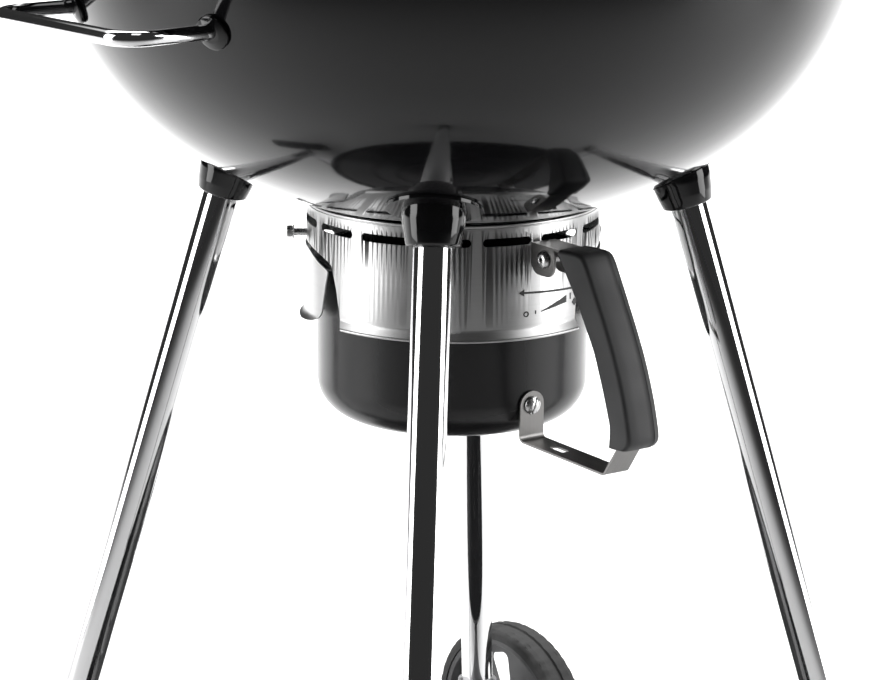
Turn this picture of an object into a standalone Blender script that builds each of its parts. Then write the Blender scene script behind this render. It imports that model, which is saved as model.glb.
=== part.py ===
"""Kettle charcoal grill with an ash catcher under its bowl. Metres, +Z up.

The origin is on the floor, in the middle of the space the grill takes up. The front faces -Y.
Every piece is one object, and its parent empty is the body that it moves with.
"""

import math

import bmesh
import bpy
from mathutils import Matrix, Vector

# Fits
GAP = 0.0003  # between pieces that touch
RUN = 0.0001  # round a shaft that turns
SLIDE = 0.0006  # beside pieces that slide past each other

# Bowl and lid: a wide dish arc at the pole, then a tighter side arc up to the rim
BOWL_R = 0.276
BOWL_DISH_R = 0.350
BOWL_SIDE_R = 0.200
BOWL_DEPTH = 0.2076
LID_R = 0.2798
LID_DISH_R = 0.345
LID_SIDE_R = 0.185
LID_DEPTH = 0.196
SHELL_WALL = 0.0015
RIM_Z = 0.790
FLANGE_W = 0.0045
LIP_W = 0.0036
LIP_DROP = 0.009
TURN_STEPS = 40

# Legs, one over each diagonal
LEG_RADIUS_AT_SLOTS = 0.1646
LEG_SPLAY = 0.296  # how far a leg moves out for each metre down
TUBE_R = 0.0127
TUBE_WALL = 0.0012
COLLAR_R = 0.0205
COLLAR_BELOW = 0.024  # from the bowl down to the collar's lower edge, along the leg
COLLAR_FLANGE_R = 0.0315
FOOT_WALL = 0.0022
FOOT_HEIGHT = 0.032

# Wheels
WHEEL_R = 0.080
WHEEL_W = 0.034
TYRE_THICK = 0.010
AXLE_R = 0.004
WHEEL_CLEAR = 0.007
REAR_LEG_BELOW_AXLE = 0.020

# Shelf
SHELF_Z = 0.130
SHELF_R = 0.232
SHELF_LIP = 0.016
SHEET = 0.0015

# Ash catcher band, measured down from the row of air slots
SLOTS_BELOW_RIM = 0.205
BAND_R = 0.1016
BAND_WALL = 0.0010
SLOT_COUNT = 15
SLOT_H = 0.0056
SLOT_SWEEP = 19.4
SLOT_PHASE = 10.5
HEM_DROP = 0.067
HEM_FLARE = 0.0034
HEM_H = 0.0042
BAND_STEPS = 60
SIGHT_HOLE_AZ = -85.5
SIGHT_HOLE_W = 0.009
SIGHT_HOLE_TOP = 0.0060
SIGHT_HOLE_BOTTOM = 0.0204

# Spring latches
LATCH_AZ = 143.0
LATCH_T = 0.0010
LATCH_PROUD = 0.0008
LATCH_BOLT_DROP = 0.0128
LATCH_STEP_DROP = 0.0175  # where the strip inside the band starts to step out
BOLT_R = 0.0025
BOLT_REACH = 0.0135
RIVET_REACH = 0.0016  # the right latch has a low rivet instead of a bolt
RIVET_HEAD_H = 0.0012
BOLT_HEAD_R = 0.0044
BOLT_HEAD_H = 0.0042

# Ash pan
PAN_R = 0.0944
PAN_WALL = 0.0010
PAN_TOP_DROP = 0.026
PAN_BOTTOM_DROP = 0.1400
PAN_CORNER_R = 0.026
PAN_RIM_W = 0.0050
PAN_STEPS = 40

# Strap handle of the pan
HANDLE_AZ = -96.0
STRAP_W = 0.0195
STRAP_T = 0.0015
ARM_DROP = 0.0010
ARM_START_R = 0.1056
ARM_BEND_R = 0.1530
GRIP_ARC_R = 0.350
GRIP_TOP_ANGLE = 55.0
GRIP_ARC_LENGTH = 0.125
CORNER_IN = 0.0176
LOWER_ARM_DROP = 0.1395
FOOT_SCREW_DROP = 0.1154
EAR_W = 0.0255
EAR_H = 0.0205
EAR_CORNER = 0.0075
EAR_SCREW_IN = 0.0150
EAR_SCREW_DROP = 0.0095
GRIP_W = 0.0265
GRIP_T = 0.0200

# Damper under the charcoal
VENT_COUNT = 3
VENT_IN_R = 0.026
VENT_OUT_R = 0.080
VENT_SWEEP = 34.0
VENT_PHASE = 30.0
BLADE_OUT_R = 0.088
BLADE_SWEEP = 44.0
BLADE_T = 0.0015
BLADE_HUB_R = 0.020
CLOSED_AT = -6.0  # the damper is shut when turned this far from rest
SHAFT_R = 0.005
TANG_W = 0.014
TANG_T = 0.003
TANG_DROP = 0.046
CROSSBAR_DROP = 0.036
CROSSBAR_W = 0.024
CROSSBAR_T = 0.002

# Grates
COOKING_DROP = 0.035
COOKING_T = 0.006
CHARCOAL_DROP = 0.1315
CHARCOAL_T = 0.005
GRATE_CLEAR = 0.0030
GRATE_SLOT = 0.011
GRATE_BAR = 0.008
GRATE_RIM = 0.010

# Lid fittings
LID_HANDLE_AZ = -90.0
LID_HANDLE_R = 0.150
LID_HANDLE_SPAN = 0.150
LID_HANDLE_HIGH = 0.062
LID_BAR_R = 0.0110
POST_R = 0.0075
GAUGE_AZ = -38.0
GAUGE_R = 0.170
GAUGE_CASE_R = 0.029
GAUGE_CASE_H = 0.014
LID_VENT_AZ = 90.0
LID_VENT_AT = 0.105
LID_VENT_R = 0.036
LID_HOLE_R = 0.0075
LID_HOLE_AT = 0.022

# Side handles of the bowl
SIDE_ROD_R = 0.005
SIDE_SPAN = 0.150
SIDE_REACH = 0.052
SIDE_DROP = 0.050

POLE_Z = RIM_Z - BOWL_DEPTH
SLOT_Z = RIM_Z - SLOTS_BELOW_RIM
LID_TOP_Z = RIM_Z + GAP + LID_DEPTH


def at(azimuth, radius, z=0.0):
    """The point at this azimuth (degrees from +X) and radius from the kettle's axis."""
    turn = math.radians(azimuth)
    return Vector((radius * math.cos(turn), radius * math.sin(turn), z))


class Shell:
    """A turned skin made of a dish arc and a side arc that meet smoothly."""

    def __init__(self, radius, dish_r, side_r, pole_z, up):
        self.dish_r = dish_r
        self.side_r = side_r
        self.up = up
        self.pole_z = pole_z
        self.knuckle = radius - side_r
        self.dish_centre = pole_z + up * dish_r
        lift = math.sqrt((dish_r - side_r) ** 2 - self.knuckle**2)
        self.side_centre = self.dish_centre - up * lift
        self.turn = math.asin(self.knuckle / (dish_r - side_r))

    def radius(self, z, inset=0.0):
        """How wide the skin is at height z, moved in by inset."""
        side = self.side_r - inset
        off_side = abs(z - self.side_centre)
        if off_side < side:
            wide = self.knuckle + math.sqrt(side**2 - off_side**2)
            if wide > (self.dish_r - inset) * math.sin(self.turn):
                return wide
        return math.sqrt((self.dish_r - inset) ** 2 - (z - self.dish_centre) ** 2)

    def height(self, radius, inset=0.0):
        """The skin's height where it is this far from the axis."""
        dish = self.dish_r - inset
        if radius <= dish * math.sin(self.turn):
            return self.dish_centre - self.up * math.sqrt(dish**2 - radius**2)
        side = self.side_r - inset
        return self.side_centre - self.up * math.sqrt(side**2 - (radius - self.knuckle) ** 2)

    def profile(self, end_z, inset=0.0, start_r=0.0, dish_steps=4, side_steps=5):
        """Points (radius, z) from start_r, near the pole, to the height end_z."""
        dish = self.dish_r - inset
        side = self.side_r - inset
        first = math.asin(start_r / dish)
        last = math.pi / 2 - math.asin(self.up * (self.side_centre - end_z) / side)
        points = []
        for step in range(dish_steps + 1):
            turn = first + (self.turn - first) * step / dish_steps
            points.append((dish * math.sin(turn), self.dish_centre - self.up * dish * math.cos(turn)))
        for step in range(1, side_steps + 1):
            turn = self.turn + (last - self.turn) * step / side_steps
            height = self.side_centre - self.up * side * math.cos(turn)
            points.append((self.knuckle + side * math.sin(turn), height))
        return points

    def slope(self, radius):
        """Degrees that the skin's outward normal leans away from the axis at this radius."""
        if radius <= self.dish_r * math.sin(self.turn):
            return math.degrees(math.asin(radius / self.dish_r))
        return math.degrees(math.asin((radius - self.knuckle) / self.side_r))


BOWL = Shell(BOWL_R, BOWL_DISH_R, BOWL_SIDE_R, POLE_Z, 1)
LID = Shell(LID_R, LID_DISH_R, LID_SIDE_R, LID_TOP_Z, -1)
BAND_TOP_Z = BOWL.height(BAND_R - BAND_WALL) - GAP
LIP_OUT_R = LID.radius(RIM_Z + GAP) + LIP_W
HEM_Z = SLOT_Z - HEM_DROP


def leg_radius(z):
    """How far a leg's centre line is from the kettle's axis at height z."""
    return LEG_RADIUS_AT_SLOTS + LEG_SPLAY * (SLOT_Z - z)


LEG_NAMES = {"front_left": -135.0, "front_right": -45.0, "rear_left": 135.0, "rear_right": 45.0}
AXLE_Y = leg_radius(WHEEL_R) * math.sin(math.radians(LEG_NAMES["rear_right"]))
FRONT_REACH = LIP_OUT_R
REAR_REACH = max(AXLE_Y + WHEEL_R, LIP_OUT_R)
AXIS_Y = (FRONT_REACH - REAR_REACH) / 2

FINISHES = {
    "enamel_black": ((0.008, 0.008, 0.009), 0.08, 0.0),
    "enamel_pan": ((0.012, 0.012, 0.013), 0.25, 0.0),
    "tube_chrome": ((0.80, 0.80, 0.80), 0.07, 1.0),
    "band_stainless": ((0.62, 0.62, 0.62), 0.25, 1.0),
    "strap_steel": ((0.16, 0.155, 0.15), 0.35, 1.0),
    "screw_steel": ((0.55, 0.55, 0.55), 0.25, 1.0),
    "grip_black": ((0.02, 0.02, 0.021), 0.6, 0.0),
    "rubber_black": ((0.018, 0.018, 0.018), 0.8, 0.0),
    "wheel_plastic": ((0.03, 0.03, 0.032), 0.5, 0.0),
    "iron_black": ((0.03, 0.03, 0.032), 0.65, 0.2),
    "plated_steel": ((0.45, 0.45, 0.46), 0.35, 1.0),
    "dial_white": ((0.85, 0.85, 0.84), 0.5, 0.0),
    "pointer_red": ((0.55, 0.03, 0.02), 0.45, 0.0),
    "gauge_glass": ((0.9, 0.95, 0.95), 0.03, 0.0),
}


def clear_scene():
    for obj in list(bpy.data.objects):
        bpy.data.objects.remove(obj, do_unlink=True)


def material(name):
    made = bpy.data.materials.get(name)
    if made:
        return made
    colour, roughness, metallic = FINISHES[name]
    made = bpy.data.materials.new(name)
    made.use_nodes = True
    shader = made.node_tree.nodes["Principled BSDF"]
    shader.inputs["Base Color"].default_value = (*colour, 1.0)
    shader.inputs["Roughness"].default_value = roughness
    shader.inputs["Metallic"].default_value = metallic
    return made


def empty(name, parent=None, location=(0.0, 0.0, 0.0)):
    made = bpy.data.objects.new(name, None)
    made.location = location
    made.parent = parent
    bpy.context.scene.collection.objects.link(made)
    return made


def node(name, bm, finish, parent, matrix=None):
    """Turns the bmesh into an object, shaded smooth but for its real edges."""
    bmesh.ops.remove_doubles(bm, verts=bm.verts, dist=1e-6)
    bmesh.ops.recalc_face_normals(bm, faces=bm.faces)
    mesh = bpy.data.meshes.new(name)
    bm.to_mesh(mesh)
    bm.free()
    mesh.shade_smooth()
    mesh.set_sharp_from_angle(angle=math.radians(35))
    made = bpy.data.objects.new(name, mesh)
    made.parent = parent
    if matrix is not None:
        made.matrix_local = matrix
    bpy.context.scene.collection.objects.link(made)
    if finish:
        mesh.materials.append(material(finish))
    return made


def helper(name, bm, parent, matrix=None):
    """A cutter or another shape that only a Boolean uses."""
    made = node(name, bm, None, parent, matrix)
    made.hide_render = True
    made.display_type = "WIRE"
    return made


def combine(target, other, operation):
    made = target.modifiers.new(operation.lower(), "BOOLEAN")
    made.operation = operation
    made.solver = "EXACT"
    made.object = other


def turned(profile, steps=TURN_STEPS):
    """A closed outline (radius, z) turned about the Z axis."""
    bm = bmesh.new()
    verts = [bm.verts.new((radius, 0.0, z)) for radius, z in profile]
    edges = []
    for first, second in zip(verts, verts[1:] + verts[:1]):
        if first.co.x > 1e-7 or second.co.x > 1e-7:
            edges.append(bm.edges.new((first, second)))
    bmesh.ops.spin(
        bm, geom=verts + edges, axis=(0, 0, 1), cent=(0, 0, 0), angle=math.tau, steps=steps, use_merge=True
    )
    return bm


def prism(outline, low, high):
    """A flat outline (x, y) made thick from z = low to z = high."""
    bm = bmesh.new()
    face = bm.faces.new([bm.verts.new((x, y, low)) for x, y in outline])
    side = bmesh.ops.extrude_face_region(bm, geom=[face])
    moved = [item for item in side["geom"] if isinstance(item, bmesh.types.BMVert)]
    bmesh.ops.translate(bm, verts=moved, vec=(0, 0, high - low))
    return bm


def box(low, high):
    plan = [(low[0], low[1]), (high[0], low[1]), (high[0], high[1]), (low[0], high[1])]
    return prism(plan, low[2], high[2])


def arc(centre, radius, start, end, steps):
    """Points on an arc in the plane, angles in degrees."""
    points = []
    for step in range(steps + 1):
        turn = math.radians(start + (end - start) * step / steps)
        points.append((centre[0] + radius * math.cos(turn), centre[1] + radius * math.sin(turn)))
    return points


def obround(length, width, steps=6):
    """A slot outline along X with round ends."""
    half = length / 2 - width / 2
    return arc((half, 0), width / 2, -90, 90, steps) + arc((-half, 0), width / 2, 90, 270, steps)


def rounded_box(wide, tall, corner, steps=3):
    """A rectangle about the origin with round corners."""
    x = wide / 2 - corner
    y = tall / 2 - corner
    return (
        arc((x, y), corner, 0, 90, steps)
        + arc((-x, y), corner, 90, 180, steps)
        + arc((-x, -y), corner, 180, 270, steps)
        + arc((x, -y), corner, 270, 360, steps)
    )


def frame_at(origin, z_axis, x_axis):
    """A placement with its Z along z_axis and its X as near x_axis as it can be."""
    z_axis = Vector(z_axis).normalized()
    x_axis = Vector(x_axis)
    x_axis = (x_axis - z_axis * x_axis.dot(z_axis)).normalized()
    y_axis = z_axis.cross(x_axis)
    turn = Matrix((x_axis, y_axis, z_axis)).transposed().to_4x4()
    return Matrix.Translation(Vector(origin)) @ turn


def radial_frame(azimuth, radius, z):
    """Z points out along the azimuth, X runs round the kettle, so Y points up."""
    return frame_at(at(azimuth, radius, z), at(azimuth, 1), at(azimuth + 90, 1))


def on_shell(shell, azimuth, radius, lift=0.0):
    """Stands on the shell's outer face: Z along its normal, X round the kettle."""
    lean = math.radians(shell.slope(radius))
    normal = at(azimuth, math.sin(lean), -shell.up * math.cos(lean))
    foot = at(azimuth, radius, shell.height(radius)) + normal * lift
    return frame_at(foot, normal, at(azimuth + 90, 1))


def swept(sections):
    """Closed loops of points, each joined to the next, with both ends capped."""
    bm = bmesh.new()
    loops = [[bm.verts.new(point) for point in section] for section in sections]
    for first, second in zip(loops, loops[1:]):
        for index in range(len(first)):
            after = (index + 1) % len(first)
            bm.faces.new((first[index], first[after], second[after], second[index]))
    bm.faces.new(loops[0])
    bm.faces.new(loops[-1])
    return bm


def filleted(points, radius, steps=4):
    """The path through these points with round corners of this radius."""
    path = [Vector(points[0])]
    for before, corner, after in zip(points, points[1:], points[2:]):
        before, corner, after = Vector(before), Vector(corner), Vector(after)
        into = (corner - before).normalized()
        out = (after - corner).normalized()
        bend = into.angle(out)
        back = radius * math.tan(bend / 2)
        start = corner - into * back
        inward = (out - into).normalized()
        centre = corner + inward * radius / math.cos(bend / 2)
        turn_axis = into.cross(out).normalized()
        for step in range(steps + 1):
            turn = Matrix.Rotation(bend * step / steps, 3, turn_axis)
            path.append(centre + turn @ (start - centre))
    path.append(Vector(points[-1]))
    return path


def rod(path, radius, side, sides=10):
    """A round bar along a path; side is a direction that the path never follows."""
    sections = []
    side = Vector(side)
    for index, point in enumerate(path):
        ahead = path[min(index + 1, len(path) - 1)] - path[max(index - 1, 0)]
        ahead.normalize()
        across = side.cross(ahead).normalized()
        above = ahead.cross(across)
        ring = []
        for step in range(sides):
            turn = math.tau * step / sides
            ring.append(point + across * radius * math.cos(turn) + above * radius * math.sin(turn))
        sections.append(ring)
    return swept(sections)


def hex_outline(across_corners):
    return arc((0, 0), across_corners, 0, 300, 5)


def curved_strip(rows, azimuth, thickness, columns=12):
    """A sheet round the kettle's axis. Each row is (radius, z, half its sweep in degrees)."""
    sections = []
    for radius, z, half in rows:
        outer = []
        inner = []
        for column in range(columns + 1):
            turn = azimuth - half + 2 * half * column / columns
            outer.append(at(turn, radius, z))
            inner.append(at(turn, radius - thickness, z))
        sections.append(outer + inner[::-1])
    return swept(sections)


# ---------------------------------------------------------------- bowl and what it carries


def make_bowl(body):
    outside = BOWL.profile(RIM_Z)
    inside = BOWL.profile(RIM_Z, SHELL_WALL)
    rim_r = outside[-1][0]
    flange = [(rim_r + FLANGE_W, RIM_Z - SHELL_WALL), (rim_r + FLANGE_W, RIM_Z)]
    under_flange = (BOWL.radius(RIM_Z - SHELL_WALL), RIM_Z - SHELL_WALL)
    bowl = node("bowl", turned(outside[:-1] + [under_flange] + flange + inside[::-1]), "enamel_black", body)
    for index in range(VENT_COUNT):
        centre = VENT_PHASE + index * 360 / VENT_COUNT
        outline = sector(VENT_IN_R, VENT_OUT_R, centre, VENT_SWEEP)
        cutter = helper(f"bowl_vent_cut_{index}", prism(outline, POLE_Z - 0.01, POLE_Z + 0.03), body)
        combine(bowl, cutter, "DIFFERENCE")
    bore_r = SHAFT_R + GAP
    low = POLE_Z - 0.01
    high = POLE_Z + 0.01
    bore = turned([(0, low), (bore_r, low), (bore_r, high), (0, high)], 24)
    combine(bowl, helper("bowl_shaft_cut", bore, body), "DIFFERENCE")
    return bowl


def sector(inner, outer, centre, sweep, steps=6):
    """A ring sector in plan."""
    start = centre - sweep / 2
    end = centre + sweep / 2
    return arc((0, 0), outer, start, end, steps) + arc((0, 0), inner, end, start, steps)


def leg_frame(azimuth, z):
    """On the leg's centre line at height z, with Z down along the leg."""
    down = at(azimuth, LEG_SPLAY, -1.0)
    return frame_at(at(azimuth, leg_radius(z), z), down, at(azimuth + 90, 1))


def collar_top_z():
    """The height where the leg's centre line meets the bowl."""
    z = SLOT_Z
    for _ in range(40):
        z = BOWL.height(leg_radius(z))
    return z


def make_collars(body):
    """Enamelled cups on the bowl that hold the legs, with a saucer against the bowl."""
    over = 0.030
    lower = COLLAR_BELOW
    bore_r = TUBE_R + GAP
    bore_top = leg_inset() - GAP
    profile = [
        (bore_r, lower),
        (COLLAR_R - 0.009, lower),
        (COLLAR_R - 0.0032, lower - 0.0032),
        (COLLAR_R - 0.0008, lower - 0.009),
        (COLLAR_R, 0.006),
        (COLLAR_R + 0.001, 0.002),
        (COLLAR_FLANGE_R, -0.006),
        (COLLAR_FLANGE_R, -over),
        (0, -over),
        (0, bore_top),
        (bore_r, bore_top),
    ]
    top_z = collar_top_z()
    skin = BOWL.profile(RIM_Z + 0.05, -GAP)
    keep_out = skin + [(0, RIM_Z + 0.05)]
    bowl_space = helper("collar_bowl_cut", turned(keep_out), body)
    for name, azimuth in LEG_NAMES.items():
        place = leg_frame(azimuth, top_z)
        collar = node(f"leg_collar_{name}", turned(profile, 20), "enamel_black", body, place)
        combine(collar, bowl_space, "DIFFERENCE")


def leg_inset():
    """How far below the bowl, along the leg, the tube's end sits inside its collar."""
    return 0.0085


def make_legs(body):
    top_z = collar_top_z()
    slant = math.sqrt(1 + LEG_SPLAY**2)
    axle_cut_r = AXLE_R + GAP
    for name, azimuth in LEG_NAMES.items():
        front = name.startswith("front")
        end_z = FOOT_WALL * 2 if front else WHEEL_R - REAR_LEG_BELOW_AXLE
        length = (top_z - end_z) * slant
        start = leg_inset()
        inner = TUBE_R - TUBE_WALL
        profile = [(inner, start), (TUBE_R, start), (TUBE_R, length), (inner, length)]
        leg = node(f"leg_{name}", turned(profile, 20), "tube_chrome", body, leg_frame(azimuth, top_z))
        if front:
            make_foot(name, azimuth, top_z, length, body)
            continue
        hole = turned([(0, -0.05), (axle_cut_r, -0.05), (axle_cut_r, 0.05), (0, 0.05)], 16)
        centre = at(azimuth, leg_radius(WHEEL_R), WHEEL_R)
        cutter = helper(f"leg_{name}_axle_cut", hole, body, frame_at(centre, (1, 0, 0), (0, 1, 0)))
        combine(leg, cutter, "DIFFERENCE")


def make_foot(name, azimuth, top_z, length, body):
    """A moulded cup on the tube's end, cut level with the floor."""
    inside = TUBE_R + GAP
    outside = inside + FOOT_WALL
    profile = [
        (0, length + GAP),
        (inside, length + GAP),
        (inside, length - FOOT_HEIGHT),
        (outside - 0.0008, length - FOOT_HEIGHT),
        (outside, length - FOOT_HEIGHT + 0.0012),
        (outside, length + 0.030),
        (0, length + 0.030),
    ]
    foot = node(f"foot_{name}", turned(profile, 20), "grip_black", body, leg_frame(azimuth, top_z))
    reach = leg_radius(0) + 0.1
    floor = helper(f"foot_{name}_floor_cut", box((-reach, -reach, -0.1), (reach, reach, 0.0)), body)
    combine(foot, floor, "DIFFERENCE")


def make_axle(body):
    leg_x = leg_radius(WHEEL_R) * math.cos(math.radians(LEG_NAMES["rear_right"]))
    half = leg_x + wheel_offset() + WHEEL_W / 2 - 0.006
    profile = [(0, -half), (AXLE_R, -half), (AXLE_R, half), (0, half)]
    place = frame_at((0, AXLE_Y, WHEEL_R), (1, 0, 0), (0, 1, 0))
    node("wheel_axle", turned(profile, 16), "plated_steel", body, place)


def wheel_offset():
    """From the leg's centre line out to the middle of the wheel."""
    return TUBE_R * 1.15 + WHEEL_CLEAR + WHEEL_W / 2


def make_wheels(bodies):
    hub_r = 0.017
    half = WHEEL_W / 2
    rim_r = WHEEL_R - TYRE_THICK
    web = 0.0025
    bore = AXLE_R + RUN
    hub = [
        (bore, -half),
        (hub_r, -half),
        (hub_r, -web),
        (rim_r - 0.006, -web),
        (rim_r - 0.004, -half + 0.002),
        (rim_r, -half + 0.002),
        (rim_r, half - 0.002),
        (rim_r - 0.004, half - 0.002),
        (rim_r - 0.006, web),
        (hub_r, web),
        (hub_r - 0.002, half),
        (0, half),
        (0, half - 0.005),
        (bore, half - 0.005),
    ]
    inside = rim_r + GAP
    tyre = [
        (inside, -half + 0.001),
        (WHEEL_R - 0.003, -half + 0.001),
        (WHEEL_R, -half + 0.006),
        (WHEEL_R, half - 0.006),
        (WHEEL_R - 0.003, half - 0.001),
        (inside, half - 0.001),
    ]
    for side, sign in (("left", -1), ("right", 1)):
        body = bodies[f"wheel_{side}"]
        out = frame_at((0, 0, 0), (sign, 0, 0), (0, 1, 0))
        wheel = node(f"wheel_hub_{side}", turned(hub, 24), "wheel_plastic", body, out)
        node(f"tyre_{side}", turned(tyre, 24), "rubber_black", body, out)
        middle = (hub_r + rim_r - 0.006) / 2
        for index in range(5):
            spot = Matrix.Rotation(math.tau * index / 5, 4, "Z") @ Matrix.Translation((middle, 0, 0))
            hole = prism(rounded_box(0.034, 0.024, 0.006, 1), -0.01, 0.01)
            cutter = helper(f"wheel_{side}_window_{index}", hole, body, out @ spot)
            combine(wheel, cutter, "DIFFERENCE")


def make_shelf(body):
    """A pressed round tray, clipped to each leg."""
    profile = [
        (0, 0),
        (SHELF_R - 0.008, 0),
        (SHELF_R - 0.003, 0.003),
        (SHELF_R, SHELF_LIP),
        (SHELF_R + 0.004, SHELF_LIP),
        (SHELF_R + 0.004, SHELF_LIP - SHEET),
        (SHELF_R + SHEET, SHELF_LIP - SHEET - 0.001),
        (SHELF_R - 0.0015, 0.002 - SHEET / 2),
        (SHELF_R - 0.008, -SHEET),
        (0, -SHEET),
    ]
    node("shelf", turned(profile, 40), "enamel_pan", body, Matrix.Translation((0, 0, SHELF_Z)))
    clip_h = 0.016
    clip_z = SHELF_Z - SHEET - GAP - clip_h / 2
    inner = TUBE_R + GAP
    outer = inner + 0.003
    for name, azimuth in LEG_NAMES.items():
        above = clip_h / 2 + 0.008
        ring = turned([(inner, -above), (outer, -above), (outer, clip_h / 2), (inner, clip_h / 2)], 24)
        clip = node(f"shelf_clip_{name}", ring, "plated_steel", body, leg_frame(azimuth, clip_z))
        top = clip_z + clip_h / 2
        tab_end = leg_radius(top) - (inner + 0.001) * math.sqrt(1 + LEG_SPLAY**2)
        tab = box((SHELF_R - 0.045, -0.009, top - 0.003), (tab_end, 0.009, top))
        tongue = helper(f"shelf_clip_{name}_tab", tab, body, Matrix.Rotation(math.radians(azimuth), 4, "Z"))
        combine(clip, tongue, "UNION")
        above_tab = box((0.1, -0.03, top), (0.4, 0.03, top + 0.03))
        turn = Matrix.Rotation(math.radians(azimuth), 4, "Z")
        roof = helper(f"shelf_clip_{name}_top_cut", above_tab, body, turn)
        combine(clip, roof, "DIFFERENCE")


def make_side_handles(body):
    """A bent rod on each side of the bowl, its ends square to the skin."""
    z = RIM_Z - SIDE_DROP
    skin = BOWL.radius(z)
    half = SIDE_SPAN / 2
    near = math.sqrt(skin**2 - half**2)
    far = skin + SIDE_REACH
    for side, sign in (("left", -1), ("right", 1)):
        corners = [
            Vector((sign * (near - 0.02), -half, z)),
            Vector((sign * far, -half, z)),
            Vector((sign * far, half, z)),
            Vector((sign * (near - 0.02), half, z)),
        ]
        bent = rod(filleted(corners, 0.018), SIDE_ROD_R, (0, 0, 1))
        bar = node(f"bowl_handle_{side}", bent, "tube_chrome", body)
        combine(bar, bpy.data.objects["collar_bowl_cut"], "DIFFERENCE")


def make_grate_brackets(body):
    """Steps inside the rim that the cooking grate rests on."""
    top = RIM_Z - COOKING_DROP - COOKING_T - GAP
    inner_r = BOWL.radius(top, SHELL_WALL) - 0.022
    space = BOWL.profile(RIM_Z, SHELL_WALL + GAP)
    inside = helper("bracket_inside", turned(space + [(0, RIM_Z)]), body)
    for index, azimuth in enumerate((30.0, 150.0, 270.0)):
        plate = box((inner_r, -0.012, top - 0.012), (BOWL_R, 0.012, top))
        turn = Matrix.Rotation(math.radians(azimuth), 4, "Z")
        bracket = node(f"grate_bracket_{index + 1}", plate, "plated_steel", body, turn)
        combine(bracket, inside, "INTERSECT")


# ---------------------------------------------------------------- grates


def grate(name, radius, low, thickness, body):
    """A round plate slotted into straight bars, with a cross rib left in the middle."""
    outline = [(0, low), (radius, low), (radius, low + thickness), (0, low + thickness)]
    plate = node(name, turned(outline, 48), "iron_black", body)
    pitch = GRATE_SLOT + GRATE_BAR
    inside = radius - GRATE_RIM
    rows = int(inside / pitch)
    slots = bmesh.new()
    for row in range(-rows, rows + 1):
        offset = row * pitch
        half = math.sqrt(inside**2 - (abs(offset) + GRATE_SLOT / 2) ** 2)
        reach = half - GRATE_BAR / 2
        if reach < 2 * GRATE_SLOT:
            continue
        for sign in (-1, 1):
            centre = sign * (GRATE_BAR / 2 + reach / 2)
            x = (offset - GRATE_SLOT / 2, offset + GRATE_SLOT / 2)
            y = (centre - reach / 2, centre + reach / 2)
            piece = box((x[0], y[0], low - 0.01), (x[1], y[1], low + thickness + 0.01))
            mesh = bpy.data.meshes.new("slot")
            piece.to_mesh(mesh)
            piece.free()
            slots.from_mesh(mesh)
            bpy.data.meshes.remove(mesh)
    cutter = helper(f"{name}_slots", slots, body)
    combine(plate, cutter, "DIFFERENCE")
    return plate


def make_grates(bodies):
    cooking_low = RIM_Z - COOKING_DROP - COOKING_T
    cooking_r = BOWL.radius(cooking_low, SHELL_WALL) - GRATE_CLEAR
    grate("cooking_grate", cooking_r, cooking_low, COOKING_T, bodies["cooking_grate"])
    charcoal_low = RIM_Z - CHARCOAL_DROP - CHARCOAL_T
    charcoal_r = BOWL.radius(charcoal_low, SHELL_WALL) - GAP * 3
    grate("charcoal_grate", charcoal_r, charcoal_low, CHARCOAL_T, bodies["charcoal_grate"])


# ---------------------------------------------------------------- lid


def make_lid(body):
    edge_z = RIM_Z + GAP
    outside = LID.profile(edge_z)
    inside = LID.profile(edge_z, SHELL_WALL)
    lip = [
        (outside[-1][0] + LIP_W, edge_z + 0.001),
        (outside[-1][0] + LIP_W, edge_z - LIP_DROP),
        (outside[-1][0] + LIP_W - SHELL_WALL, edge_z - LIP_DROP),
        (outside[-1][0] + LIP_W - SHELL_WALL, edge_z),
    ]
    shoulder = (LID.radius(edge_z + 0.003), edge_z + 0.003)
    skin = outside[:-1] + [shoulder] + lip + inside[::-1]
    lid = node("lid", turned(skin), "enamel_black", body)
    place = on_shell(LID, LID_VENT_AZ, LID_VENT_AT)
    drill(lid, "lid_pivot_cut", POST_R / 2 + GAP, place, body)
    for index in range(3):
        turn = Matrix.Rotation(math.tau * index / 3, 4, "Z")
        spot = place @ turn @ Matrix.Translation((LID_HOLE_AT, 0, 0))
        drill(lid, f"lid_hole_cut_{index}", LID_HOLE_R, spot, body)
    drill(lid, "lid_gauge_cut", 0.0055, on_shell(LID, GAUGE_AZ, GAUGE_R), body)


def drill(target, name, radius, matrix, body):
    bore = turned([(0, -0.02), (radius, -0.02), (radius, 0.02), (0, 0.02)], 16)
    combine(target, helper(name, bore, body, matrix), "DIFFERENCE")


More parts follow.
